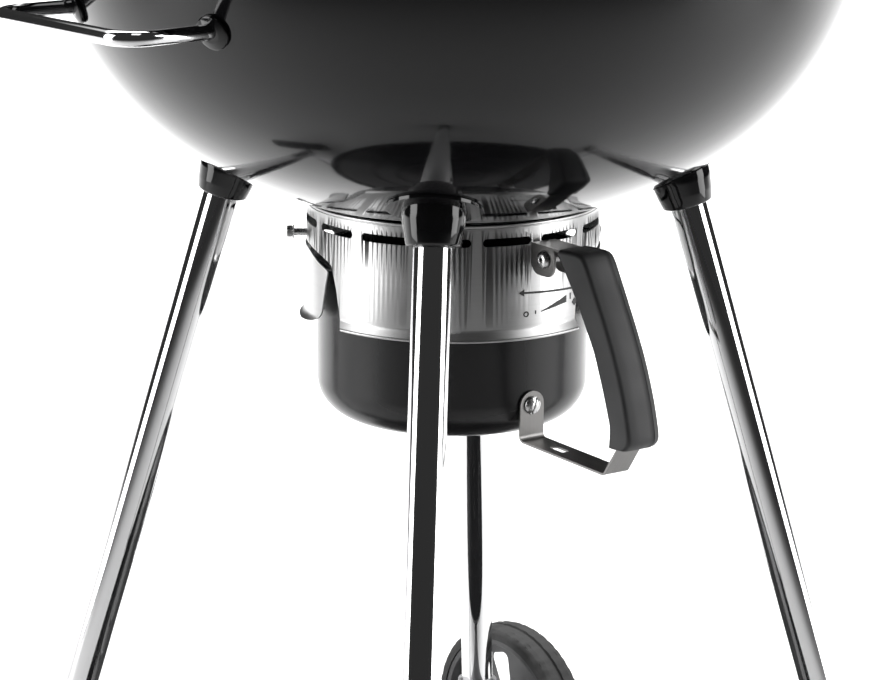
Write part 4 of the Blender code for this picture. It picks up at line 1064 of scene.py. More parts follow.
class GRILL_OT_side_handles(bpy.types.Operator):
    """Bends the two side handles and their flanges on the bowl"""

    bl_idname = "grill.side_handles"
    bl_label = "Side handles"

    def execute(self, context):
        shell = bowl_shell()
        z = middle("bowl_handle_left").z
        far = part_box("bowl_handle_right")[1][0] - 0.005
        half = 0.075
        near = math.sqrt(shell.radius(z) ** 2 - half**2)
        for side, sign in (("left", -1), ("right", 1)):
            corners = [
                (sign * (near + 0.0022), AXIS_Y - half, z),
                (sign * far, AXIS_Y - half, z),
                (sign * far, AXIS_Y + half, z),
                (sign * (near + 0.0022), AXIS_Y + half, z),
            ]
            bar = rod(filleted(corners, 0.018, 10), 0.005, (0, 0, 1))
            node = f"bowl_handle_{side}"
            piece(f"side_handle_{side}", bar, tube_chrome(), "bowl_stand", None, [node])
            for end in (-1, 1):
                azimuth = math.degrees(math.atan2(end * half, sign * near))
                foot = on_shell(shell, azimuth, shell.radius(z), AIR)
                outline = [
                    (0, -0.0002),
                    (0.0115, -0.0002, 0.0006),
                    (0.0115, 0.0022, 0.0012),
                    (0.0060, 0.0036, 0.002),
                    (0, 0.0036),
                ]
                pad = lathe(eased(outline), 64)
                label = "front" if end < 0 else "rear"
                name = f"side_handle_pad_{side}_{label}"
                piece(name, pad, enamel_black(), "bowl_stand", foot)
        return {"FINISHED"}


def strip(rows, azimuth, sheet, columns=36):
    """A sheet bent round the kettle's axis. A row is (outer radius, z, degrees back, degrees forward)."""
    sections = []
    for radius, z, back, ahead in rows:
        turns = [azimuth - back + (back + ahead) * column / columns for column in range(columns + 1)]
        outer = [at(turn, radius, z) for turn in turns]
        inner = [at(turn, radius - sheet, z) for turn in turns]
        sections.append(outer + inner[::-1])
    return swept(sections, [-row[1] for row in rows])


def between_rows(rows, steps=4):
    """The rows with more of them in between, so that a bend or a slanting side stays smooth."""
    out = []
    for first, second in zip(rows, rows[1:]):
        for step in range(steps):
            share = step / steps
            out.append(tuple(a + (b - a) * share for a, b in zip(first, second)))
    return out + [rows[-1]]


def flat_places(obj, radius):
    """Lays the UV map out as the flat pattern of a sheet that was bent round the kettle's axis."""
    mesh = obj.data
    layer = mesh.uv_layers.get("UVMap") or mesh.uv_layers.new(name="UVMap")
    for polygon in mesh.polygons:
        centre = obj.matrix_world @ polygon.center
        middle_turn = math.atan2(centre.y - AXIS_Y, centre.x)
        for loop in polygon.loop_indices:
            spot = obj.matrix_world @ mesh.vertices[mesh.loops[loop].vertex_index].co
            turn = math.atan2(spot.y - AXIS_Y, spot.x)
            turn += math.tau * round((middle_turn - turn) / math.tau)
            layer.data[loop].uv = (turn * radius, spot.z)


def window_rows(radius):
    """The opening round a latch: one side of it slants out towards the hem, the other stands upright."""
    drops = [
        (0.0168, 7.0, 7.0),
        (0.0170, 12.0, 12.0),
        (0.0185, 19.5, 19.5),
        (0.0208, 26.5, 26.5),
        (0.0231, 32.5, 31.0),
        (0.0246, 35.3, 32.6),
        (0.0267, 36.5, 33.4),
        (0.0400, 38.0, 36.0),
        (0.0603, 38.9, 38.4),
        (0.0670, 38.9, 41.0),
        (0.0800, 38.9, 43.4),
    ]
    return [(radius, SLOT_Z - drop, back, ahead) for drop, back, ahead in drops]


SKIRT_MARKS = (
    ((-104.7, 0.0353, 0.0002), (-102.6, 0.0355, 0.0024)),
    ((-102.6, 0.0355, 0.0007), (-76.7, 0.0380, 0.0007)),
    ((-94.8, 0.0496, 0.0003), (-81.7, 0.0442, 0.0024)),
    ((-97.6, 0.0496, 0.0012), (-97.2, 0.0496, 0.0012)),
    ((-79.4, 0.0432, 0.0022), (-79.0, 0.0432, 0.0022)),
    ((-77.9, 0.0479, 0.0004), (-76.5, 0.0479, 0.0027), (-75.1, 0.0479, 0.0004)),
)


def mark_section(radius, azimuth, drop, half):
    """Across a raised mark on the band: it stands 0.3 mm proud."""
    z = SLOT_Z - drop
    low, high = radius - 0.0001, radius + 0.0003
    return [
        at(azimuth, high, z - half),
        at(azimuth, high, z + half),
        at(azimuth, low, z + half),
        at(azimuth, low, z - half),
    ]


def latch_bolt_z():
    return middle("latch_bolt_left").z


class GRILL_OT_band(bpy.types.Operator):
    """Rolls the ash catcher's band and punches its slots, sight hole and latch windows"""

    bl_idname = "grill.band"
    bl_label = "Ash catcher band"

    def execute(self, context):
        size = sizes("band")
        outer = size.radius
        inner = outer - size.wall
        top = high_z("ash_catcher_band")
        flare_top = HEM_Z + 0.0062
        outline = [
            (inner, top, 0.0002),
            (inner, flare_top, 0.004),
            (inner + size.flare, HEM_Z + 0.0016, 0.001),
            (inner + size.flare, HEM_Z, 0.0003),
            (outer + size.flare + 0.0004, HEM_Z, 0.0006),
            (outer + size.flare + 0.0004, HEM_Z + 0.0014, 0.0006),
            (outer + size.flare - 0.0003, HEM_Z + 0.0019, 0.0003),
            (outer, flare_top + 0.0006, 0.004),
            (outer, top - 0.0024, 0.0003),
            (outer - 0.0004, top - 0.0021, 0.0002),
            (outer - 0.0004, top - 0.0017, 0.0002),
            (outer + 0.0005, top - 0.0013, 0.0004),
            (outer + 0.0005, top - 0.0001, 0.0004),
        ]
        band = piece(
            "band_sheet",
            lathe(eased(outline, 4), 360),
            band_stainless(),
            "bowl_stand",
            on_axis(),
            ["ash_catcher_band"],
        )
        long = outer * size.slot_sweep
        cutters = []
        for index in range(size.slots):
            azimuth = math.degrees(size.slot_start) + index * 360 / size.slots
            slot = prism(obround(long, size.slot_height, 10), -0.008, 0.006)
            cutters.append((slot, radial_frame(azimuth, outer, SLOT_Z)))
        sight = [(-y, x) for x, y in obround(0.0144, 0.009, 10)]
        cutters.append((prism(sight, -0.008, 0.006), radial_frame(-85.5, outer, SLOT_Z - 0.0132)))
        for azimuth in LATCHES.values():
            cutters.append((strip(between_rows(window_rows(outer + 0.008), 2), azimuth, 0.014), Matrix()))
            cutters.append(
                (spun_pin(SCREW_HOLE_R, -0.008, 0.006), radial_frame(azimuth, outer, latch_bolt_z()))
            )
        carve(band, cutters)
        soften(band, 0.00035, 50)
        flat_places(band, outer)
        self.marks(outer)
        return {"FINISHED"}

    def marks(self, outer):
        """Plain raised marks for the damper lever: an arrow, a ring and a widening wedge with ticks."""
        parts = []
        for line in SKIRT_MARKS:
            sections = []
            for (turn, drop, half), (next_turn, next_drop, next_half) in zip(line, line[1:]):
                for step in range(12):
                    share = step / 12
                    sections.append(
                        mark_section(
                            outer,
                            turn + (next_turn - turn) * share,
                            drop + (next_drop - drop) * share,
                            half + (next_half - half) * share,
                        )
                    )
            sections.append(mark_section(outer, *line[-1]))
            parts.append(swept(sections, [index * 0.001 for index in range(len(sections))]))
        piece("band_marks", merged(parts), marking_black(), "bowl_stand")
        ring = lathe([(0.0012, 0.0), (0.0020, 0.0), (0.0020, 0.0003), (0.0012, 0.0003)], 40)
        place = radial_frame(-101.6, outer, SLOT_Z - 0.0502)
        piece("band_mark_ring", ring, marking_black(), "bowl_stand", place)


class GRILL_OT_latches(bpy.types.Operator):
    """Bends the two spring latches, turns the left one's bolt and sets the right one's rivet"""

    bl_idname = "grill.latches"
    bl_label = "Latches and bolts"

    def execute(self, context):
        size = sizes("band")
        inner = size.radius - size.wall - AIR
        proud = size.radius + 0.0008
        placed = [
            (inner, SLOT_Z - drop, half, half) for drop, half in ((0.0068, 4.2), (0.0074, 5.0), (0.0172, 5.0))
        ]
        placed += [(inner + 0.0006, SLOT_Z - 0.0180, 5.1, 5.1), (proud - 0.0005, SLOT_Z - 0.0191, 5.4, 5.4)]
        shape = [
            (0.0196, 9.6),
            (0.0199, 11.8),
            (0.0209, 15.0),
            (0.0228, 18.8),
            (0.0252, 23.0),
            (0.0272, 27.4),
            (0.0286, 30.2),
            (0.0298, 31.0),
            (0.0400, 29.3),
            (0.0590, 26.4),
            (0.0612, 25.6),
        ]
        placed += [(proud, SLOT_Z - drop, half, half) for drop, half in shape]
        curl = 0.0070
        for turn, half in ((12, 24.0), (24, 22.2), (36, 19.9), (46, 17.2), (56, 13.9), (64, 9.6), (66, 7.6)):
            out = curl * (1 - math.cos(math.radians(turn)))
            drop = 0.0620 + curl * 1.25 * math.sin(math.radians(turn))
            placed.append((proud + out, SLOT_Z - drop, half, half))
        for side, azimuth in LATCHES.items():
            tongue = piece(
                f"latch_tongue_{side}",
                strip(between_rows(placed, 2), azimuth, 0.0010, 40),
                band_stainless(),
                f"latch_{side}",
                None,
                [f"latch_{side}"],
                50,
            )
            place = radial_frame(azimuth, size.radius, latch_bolt_z())
            carve(tongue, [(spun_pin(SCREW_HOLE_R, -0.008, 0.006), place)])
            soften(tongue, 0.00028, 50)
            flat_places(tongue, size.radius)
            self.bolt(side, place)
        return {"FINISHED"}

    def bolt(self, side, place):
        """On the left a hex head with a washer face, on a threaded shank; on the right a low domed rivet."""
        if side == "right":
            dome = [(0.0046, 0.0001), (0.0045, 0.0006), (0.0036, 0.0012), (0.0020, 0.0015), (0, 0.0016)]
            rivet = lathe([(0, -0.0122), (0.0025, -0.0122), (0.0025, 0.0001)] + dome, 48, False)
            piece(
                "latch_screw_right",
                rivet,
                screw_steel(),
                "bowl_stand",
                place,
                ["latch_bolt_right"],
            )
            return
        reach = 0.0135
        shank = lathe(
            threaded(0.0025, -0.0122, -0.0002)[:-1] + [(0.0025, -0.0002), (0.0025, reach - 0.004)],
            32,
            False,
        )
        head = chamfered_hex(0.0046, reach - 0.0042, reach)
        washer = lathe(
            eased(
                [
                    (0.0024, reach - 0.0052),
                    (0.0052, reach - 0.0052, 0.0003),
                    (0.0052, reach - 0.0043, 0.0003),
                    (0.0024, reach - 0.0043),
                ]
            ),
            48,
        )
        joined = merged([capped(shank), head, washer])
        piece(
            f"latch_screw_{side}",
            joined,
            screw_steel(),
            "bowl_stand",
            place,
            [f"latch_bolt_{side}"],
        )


def capped(bm):
    """Closes the open ends of a turned skin."""
    open_edges = [edge for edge in bm.edges if len(edge.link_faces) == 1]
    bmesh.ops.holes_fill(bm, edges=open_edges, sides=0)
    bmesh.ops.recalc_face_normals(bm, faces=bm.faces)
    return bm


def merged(parts):
    """Several closed meshes in one, each keeping its own UV map."""
    whole = bmesh.new()
    whole.loops.layers.uv.new("UVMap")
    for part in parts:
        part.loops.layers.uv.verify()
        mesh = bpy.data.meshes.new("part")
        part.to_mesh(mesh)
        part.free()
        whole.from_mesh(mesh)
        bpy.data.meshes.remove(mesh)
    return whole


class GRILL_OT_pan(bpy.types.Operator):
    """Spins the ash pan with its rolled rim and soft lower corner"""

    bl_idname = "grill.pan"
    bl_label = "Ash pan"

    def execute(self, context):
        radius = PAN_R
        wall = 0.0010
        corner = 0.026
        rim = PAN_RIM_R
        centre = (radius - corner, PAN_LOW_Z + corner)
        outside = arc(centre, corner, -90, 0, 20)
        inside = arc(centre, corner - wall, 0, -90, 20)
        edge = [
            (radius, PAN_TOP_Z - 0.0042, 0.0012),
            (rim, PAN_TOP_Z - 0.0036, 0.0014),
            (rim, PAN_TOP_Z, 0.0014),
            (radius - wall, PAN_TOP_Z, 0.0008),
        ]
        foot = [(0, PAN_LOW_Z + 0.0008), (0.030, PAN_LOW_Z + 0.0008, 0.004), (0.036, PAN_LOW_Z, 0.004)]
        outline = foot + [(*point,) for point in outside] + edge + inside + [(0, PAN_LOW_Z + 0.0018)]
        piece(
            "pan_shell", lathe(
                eased(outline, 4, False),
                192,
                False,
            ), enamel_pan(), "ash_pan", on_axis(), ["ash_pan"]
        )
        return {"FINISHED"}


# ---------------------------------------------------------------- the pan's handle


def handle_azimuth():
    return math.degrees(sizes("handle").azimuth)


def upright():
    """X out from the kettle's axis along the handle, Y up, Z round the kettle."""
    azimuth = handle_azimuth()
    return frame_at((0, AXIS_Y, 0), heading(azimuth - 90), heading(azimuth))


def strap_line():
    """The strap's middle line in the handle's plane, from the ears to the foot."""
    arm_z = SLOT_Z - 0.0010
    turn = math.radians(55.0)
    bow = 0.350
    steps = 16
    stride = 0.125 / steps
    spot = Vector((0.1530, arm_z))
    line = [Vector((0.1056, arm_z, 0)), spot.to_3d()]
    for _ in range(steps):
        spot = spot + Vector((math.cos(turn), -math.sin(turn))) * stride
        line.append(spot.to_3d())
        turn += stride / bow
    low_z = SLOT_Z - LOWER_ARM_DROP
    foot_r = PAN_R + AIR + sizes("handle").strap_sheet / 2
    line += [
        Vector((spot.x - 0.0176, low_z, 0)),
        Vector((foot_r, low_z, 0)),
        Vector((foot_r, SLOT_Z - 0.1154, 0)),
    ]
    smooth = [line[0]] + filleted(line[:3], 0.004, 6)[1:-1] + line[2:-4]
    return smooth + filleted(line[-4:], 0.0038, 6)


def ribbon(path, thickness):
    """An outline round a path, half the thickness to each side."""
    left = []
    right = []
    for index, here in enumerate(path):
        ahead = (path[min(index + 1, len(path) - 1)] - path[max(index - 1, 0)]).normalized()
        side = Vector((-ahead.y, ahead.x, 0)) * thickness / 2
        left.append((here + side).to_2d())
        right.append((here - side).to_2d())
    return [tuple(point) for point in left + right[::-1]]


def ear_frame():
    """On the axis of the screw through the ears."""
    azimuth = handle_azimuth()
    return frame_at(at(azimuth, 0.1206, SLOT_Z - 0.0095), heading(azimuth - 90), (0, 0, 1))


def foot_frame(radius=PAN_R + AIR):
    return radial_frame(handle_azimuth(), radius, SLOT_Z - 0.1154)


def strap_places(obj, place):
    """Runs the UV map along the strap, and along the ears where they fold down."""
    mesh = obj.data
    layer = mesh.uv_layers.get("UVMap") or mesh.uv_layers.new(name="UVMap")
    into = place.inverted()
    for polygon in mesh.polygons:
        normal = into.to_3x3() @ (obj.matrix_world.to_3x3() @ polygon.normal)
        for loop in polygon.loop_indices:
            spot = into @ (obj.matrix_world @ mesh.vertices[mesh.loops[loop].vertex_index].co)
            along = (spot.y, spot.x) if abs(normal.z) > 0.7 else (spot.z, spot.x - spot.y)
            layer.data[loop].uv = along


class GRILL_OT_strap(bpy.types.Operator):
    """Bends the flat strap round to the pan's foot and folds its two ears"""

    bl_idname = "grill.strap"
    bl_label = "Handle strap"

    def execute(self, context):
        size = sizes("handle")
        half = size.strap_width / 2
        sheet = size.strap_sheet
        stand = upright()
        shape = prism(ribbon(strap_line(), sheet), -half, half)
        strap = piece("strap_bar", shape, strap_steel(), "ash_pan", stand, ["handle_strap"])
        additions = [(prism(arc((0, 0), half, -180, 180 - 15, 23), 0, sheet), foot_frame())]
        top = SLOT_Z - 0.0010 + sheet / 2
        for sign in (-1, 1):
            low, high = sorted((sign * (half - sheet), sign * half))
            additions.append((prism(self.ear(top), low, high), stand))
        carve(strap, additions, "UNION")
        slot = [
            (x, y)
            for x, y in eased(
                [
                    (-0.0075, -0.003, 0.0012),
                    (0.0075, -0.003, 0.0012),
                    (0.0075, 0.003, 0.0012),
                    (-0.0075, 0.003, 0.0012),
                ]
            )
        ]
        azimuth = handle_azimuth()
        holes = [
            (
                prism(slot, -0.01, 0.01),
                frame_at(at(azimuth, 0.1275, SLOT_Z - LOWER_ARM_DROP), (0, 0, 1), heading(azimuth)),
            ),
            (spun_pin(SCREW_HOLE_R, -0.03, 0.03), ear_frame()),
            (spun_pin(SCREW_HOLE_R, -0.03, 0.03), foot_frame()),
        ]
        carve(strap, holes)
        soften(strap, 0.0003, 40)
        strap_places(strap, stand)
        return {"FINISHED"}

    def ear(self, top):
        """One ear's outline: its lower corners are round."""
        near = 0.1056
        far = near + 0.0255
        low = top - 0.0205
        corners = [
            (near, top),
            (near, low, 0.0085),
            (far, low, 0.0085),
            (far, top - 0.004, 0.003),
            (far - 0.002, top),
        ]
        return eased(corners, 8)


GRIP_BACK = [
    (0.1395, 0.0010),
    (0.1510, 0.0018),
    (0.1610, 0.0018),
    (0.1668, -0.0012),
    (0.1752, -0.0142),
    (0.1834, -0.0279),
    (0.1916, -0.0418),
    (0.1991, -0.0557),
    (0.2049, -0.0679),
    (0.2099, -0.0802),
    (0.2147, -0.0945),
    (0.2180, -0.1080),
    (0.2176, -0.1130),
    (0.2139, -0.1169),
]
GRIP_FRONT = [
    (0.1406, -0.0055),
    (0.1462, -0.0130),
    (0.1515, -0.0200),
    (0.1555, -0.0252),
    (0.1610, -0.0328),
    (0.1672, -0.0424),
    (0.1733, -0.0517),
    (0.1786, -0.0601),
    (0.1838, -0.0716),
    (0.1883, -0.0821),
    (0.1929, -0.0939),
    (0.1965, -0.1042),
    (0.1966, -0.1120),
    (0.1961, -0.1186),
]


def spline_through(points, steps):
    """A smooth line through the points."""
    ends = [Vector(points[0]) * 2 - Vector(points[1])] + [Vector(point) for point in points]
    ends.append(Vector(points[-1]) * 2 - Vector(points[-2]))
    out = []
    for a, b, c, d in zip(ends, ends[1:], ends[2:], ends[3:]):
        for step in range(steps):
            t = step / steps
            out.append(
                0.5 * (
                    2 * b + (c - a) * t + (2 * a - 5 * b + 4 * c - d) * t * t + (3 * b - a - 3 * c + d) * t**3
                )
            )
    return out + [Vector(points[-1])]


def grip_section(wide, deep, shrink=0.0):
    """A rounded section (round the kettle, outwards), its outer face crowned, with a fine raised line."""
    half = wide / 2 - shrink
    low = -deep / 2 + shrink
    high = deep / 2 - shrink
    corner = min(0.0032, (high - low) / 2 - 0.0004)
    crown = min(0.0007, deep * 0.04)
    line_at = half * 0.62
    face = [
        (-line_at - 0.0007, high + crown * 0.55),
        (-line_at, high + crown * 0.6 + 0.00035),
        (-line_at + 0.0007, high + crown * 0.65),
    ]
    face += [(x * half, high + crown * (1 - x * x)) for x in (-0.3, 0.0, 0.3, 0.55)]
    points = arc((-half + corner, low + corner), corner, 270, 180, 6)
    points += arc((-half + corner, high - corner), corner, 180, 90, 6)
    points += face
    points += arc((half - corner, high - corner), corner, 90, 0, 6)
    points += arc((half - corner, low + corner), corner, 0, -90, 6)
    return points


class GRILL_OT_grip(bpy.types.Operator):
    """Moulds the grip round the bowed part of the strap"""

    bl_idname = "grill.grip"
    bl_label = "Handle grip"

    def execute(self, context):
        size = sizes("handle")
        back = spline_through(GRIP_BACK, 3)
        front = spline_through(GRIP_FRONT, 3)
        count = len(back)
        places = [(0, 0.0012, -0.0006), (0, 0.0004, -0.0002)] + [(index, 0.0, 0.0) for index in range(count)]
        places += [(count - 1, 0.0004, 0.0003), (count - 1, 0.0012, 0.0008)]
        sections = []
        spans = []
        for index, shrink, beyond in places:
            outer, inner = back[index], front[index]
            centre = (outer + inner) / 2
            deep = (outer - inner).length
            out = (outer - inner).normalized()
            ahead = Vector((out.y, -out.x))
            centre = centre + ahead * beyond
            ring = []
            for x, y in grip_section(size.grip_width, deep, shrink):
                spot = centre + out * y
                ring.append((spot.x, SLOT_Z + spot.y, x))
            sections.append(ring)
            spans.append(len(spans) * 0.004)
        piece(
            "grip_sleeve", swept(
                sections,
                spans,
            ), grip_black(), "ash_pan", upright(), ["handle_grip"], 50
        )
        return {"FINISHED"}


class GRILL_OT_handle_screws(bpy.types.Operator):
    """Turns the slotted foot screw and the socket screw through the ears"""

    bl_idname = "grill.handle_screws"
    bl_label = "Handle screws"

    def execute(self, context):
        inside = -0.0015 - 0.0010 - 4 * AIR
        dome = [
            (0.0063, 0.0003),
            (0.0063, 0.0010),
            (0.0059, 0.0017),
            (0.0048, 0.0025),
            (0.0030, 0.0031),
            (0, 0.0034),
        ]
        shank = [(0, inside - 0.007)] + threaded(0.0025, inside - 0.007, -0.0002)[:-1] + [(0.0025, 0.0003)]
        foot = lathe(shank + dome, 64, False)
        place = foot_frame(PAN_R + AIR + sizes("handle").strap_sheet)
        screw = piece("foot_screw_head", foot, screw_steel(), "ash_pan", place, ["foot_screw"])
        groove = prism(
            [(-0.0007, -0.008), (0.0007, -0.008), (0.0007, 0.008), (-0.0007, 0.008)],
            0.0016,
            0.0060,
        )
        turned = place @ Matrix.Rotation(math.radians(-20), 4, "Z")
        carve(screw, [(groove, turned)])
        soften(screw, 0.00015, 35)
        out = sizes("handle").strap_width / 2 + AIR
        head = [
            (0.0060, out),
            (0.0060, out + 0.0007),
            (0.0056, out + 0.0018),
            (0.0045, out + 0.0028),
            (0.0030, out + 0.0033),
            (0, out + 0.0033),
        ]
        shank = [(0, -out - 0.006)] + threaded(0.0025, -out - 0.006, out - 0.001)[:-1] + [(0.0025, out)]
        button = piece(
            "ear_screw_head", lathe(
                shank + head,
                64,
                False,
            ), screw_steel(), "ash_pan", ear_frame(), ["ear_screw"]
        )
        carve(button, [(prism(hexagon(0.0020), out + 0.001, out + 0.01), ear_frame())])
        soften(button, 0.00012, 35)
        nut = chamfered_hex(0.0046, -out - 0.004, -out, 0.0026)
        piece("ear_screw_nut", nut, screw_steel(), "ash_pan", ear_frame(), ["ear_nut"])
        return {"FINISHED"}


# ---------------------------------------------------------------- lid


class GRILL_OT_lid(bpy.types.Operator):
    """Turns the lid with its rolled lip and drills its vent holes"""

    bl_idname = "grill.lid"
    bl_label = "Lid"

    def execute(self, context):
        size = sizes("kettle")
        shell = lid_shell()
        edge = RIM_Z + AIR
        outside = shell.profile(edge + 0.0035)
        inside = shell.profile(edge, size.wall)
        out = shell.radius(edge) + 0.0036
        lip = [
            (shell.radius(edge) + 0.0010, edge + 0.0016, 0.0015),
            (out, edge + 0.0008, 0.0016),
            (out, edge - 0.009, 0.0007),
            (out - size.wall, edge - 0.009, 0.0006),
            (out - size.wall, edge, 0.0006),
        ]
        lid = lathe(eased(outside + lip + inside[::-1], 4), size.steps)
        made = piece("lid_shell", lid, enamel_black(), "lid", on_axis(), ["lid"])
        vent = on_shell(shell, 90.0, 0.105)
        cutters = [(spun_pin(0.00405, -0.02, 0.02), vent)]
        for index in range(3):
            cutters.append((spun_pin(0.0075, -0.02, 0.02, 48), vent @ turned_out(120 * index, 0.022)))
        cutters.append((spun_pin(0.0055, -0.02, 0.02), on_shell(shell, -38.0, 0.170)))
        carve(made, cutters)
        return {"FINISHED"}


def turned_out(turn, reach):
    """Turned about Z, then moved out along X."""
    return Matrix.Rotation(math.radians(turn), 4, "Z") @ Matrix.Translation((reach, 0, 0))


class GRILL_OT_lid_handle(bpy.types.Operator):
    """Turns the lid's grip bar, its posts, and bends the hook inside"""

    bl_idname = "grill.lid_handle"
    bl_label = "Lid handle and hook"

    def execute(self, context):
        bar_at = middle("lid_handle_bar")
        half = (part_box("lid_handle_bar")[1][0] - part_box("lid_handle_bar")[0][0]) / 2
        radius = (high_z("lid_handle_bar") - low_z("lid_handle_bar")) / 2
        outline = [(0, -half, 0), (radius - 0.0025, -half, 0.002), (radius - 0.0006, -half + 0.006, 0.004)]
        for step in range(5):
            z = -half + 0.012 + step * 0.0035
            outline += [
                (radius - 0.0004, z, 0.0004),
                (radius - 0.0014, z + 0.0008, 0.0004),
                (radius - 0.0004, z + 0.0016, 0.0004),
            ]
        outline += [(radius, -half + 0.034, 0.02), (radius, half - 0.034, 0.02)]
        for step in range(4, -1, -1):
            z = half - 0.012 - step * 0.0035
            outline += [
                (radius - 0.0004, z - 0.0016, 0.0004),
                (radius - 0.0014, z - 0.0008, 0.0004),
                (radius - 0.0004, z, 0.0004),
            ]
        outline += [(radius - 0.0006, half - 0.006, 0.004), (radius - 0.0025, half, 0.002), (0, half, 0)]
        place = frame_at(bar_at, (1, 0, 0), (0, 0, 1))
        bar = lathe(eased(outline, 3, False), 72, False)
        piece("lid_grip_bar", bar, grip_black(), "lid", place, ["lid_handle_bar"])
        self.posts(bar_at, radius)
        self.hook()
        return {"FINISHED"}

    def posts(self, bar_at, bar_radius):
        shell = lid_shell()
        span = 0.075
        foot_r = math.hypot(0.150, span)
        keep_out = shell.profile(RIM_Z, -AIR) + [(0, RIM_Z)]
        for side, sign in (("left", -1), ("right", 1)):
            azimuth = math.degrees(math.atan2(-0.150, sign * span))
            start = on_shell(shell, azimuth, foot_r, AIR).translation
            aim = Vector((sign * span, bar_at.y, bar_at.z)) - start
            long = aim.length - bar_radius - AIR
            outline = eased(
                [
                    (0, -0.02),
                    (0.0132, -0.02),
                    (0.0132, 0.0032, 0.0014),
                    (0.0105, 0.0050, 0.003),
                    (0.0075, 0.0095, 0.006),
                    (0.0075, long - 0.006, 0.0006),
                    (0.0090, long - 0.0052, 0.0008),
                    (0.0090, long, 0.0008),
                    (0, long),
                ],
                5,
            )
            place = frame_at(start, aim, (0, 0, 1))
            node = f"lid_handle_post_{side}"
            post = piece(
                f"lid_post_{side}",
                lathe(outline, 72),
                screw_steel(),
                "lid",
                place,
                [node],
            )
            carve(post, [(lathe(keep_out, 160, False), on_axis())])

    def hook(self):
        low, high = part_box("lid_hook")
        y = (low[1] + high[1]) / 2
        top = high[2] - 0.0012
        reach = 0.045
        corners = [(-reach, y, top), (-reach, y, low[2] + 0.003), (reach, y, low[2] + 0.003), (reach, y, top)]
        bar = rod(filleted(corners, 0.012, 10), 0.003, (0, 1, 0), 20)
        piece("lid_hook_wire", bar, plated_steel(), "lid", None, ["lid_hook"])


class GRILL_OT_lid_vent(bpy.types.Operator):
    """Stamps the lid's vent disc and sets its rivet and tab"""

    bl_idname = "grill.lid_vent"
    bl_label = "Lid vent"

    def execute(self, context):
        place = on_shell(lid_shell(), 90.0, 0.105)
        outline = [
            (0.00385, 0.0003),
            (0.0345, 0.0003, 0.0008),
            (0.0360, 0.0006, 0.0002),
            (0.0360, 0.0015, 0.0005),
            (0.0335, 0.0015, 0.0006),
            (0.0325, 0.0021, 0.0008),
            (0.0300, 0.0021, 0.0008),
            (0.0290, 0.0015, 0.0006),
            (0.00385, 0.0015),
        ]
        disc = piece(
            "vent_disc", lathe(
                eased(outline),
                144,
            ), band_stainless(), "lid_vent", place, ["lid_vent_disc"]
        )
        carve(
            disc,
            [
                (spun_pin(0.0075, -0.02, 0.02, 48), place @ turned_out(120 * index, 0.022)) for index in range(3)
            ],
        )
        soften(disc, 0.0002, 50)
        corner = 0.004
        tab = eased(
            [
                (-0.007, -0.008, corner),
                (0.007, -0.008, corner),
                (0.007, 0.008, corner),
                (-0.007, 0.008, corner),
            ],
            6,
        )
        spot = place @ turned_out(60, 0.026)
        knob = piece(
            "vent_tab",
            prism(tab, 0.0018, 0.0132),
            grip_black(),
            "lid_vent",
            spot,
            ["lid_vent_knob"],
        )
        soften(knob, 0.0012, 40, 4)
        head = 0.0018
        rivet = [
            (0, -0.008),
            (0.006, -0.008, 0.0004),
            (0.006, -0.0046),
            (0.00375, -0.0046),
            (0.00375, head),
            (0.0082, head, 0.0003),
            (0.0080, head + 0.0010, 0.001),
            (0.0050, head + 0.0030, 0.004),
            (0, head + 0.0034),
        ]
        made = lathe(eased(rivet, 4, False), 64, False)
        piece("vent_rivet", made, screw_steel(), "lid", place, ["lid_vent_rivet"])
        return {"FINISHED"}


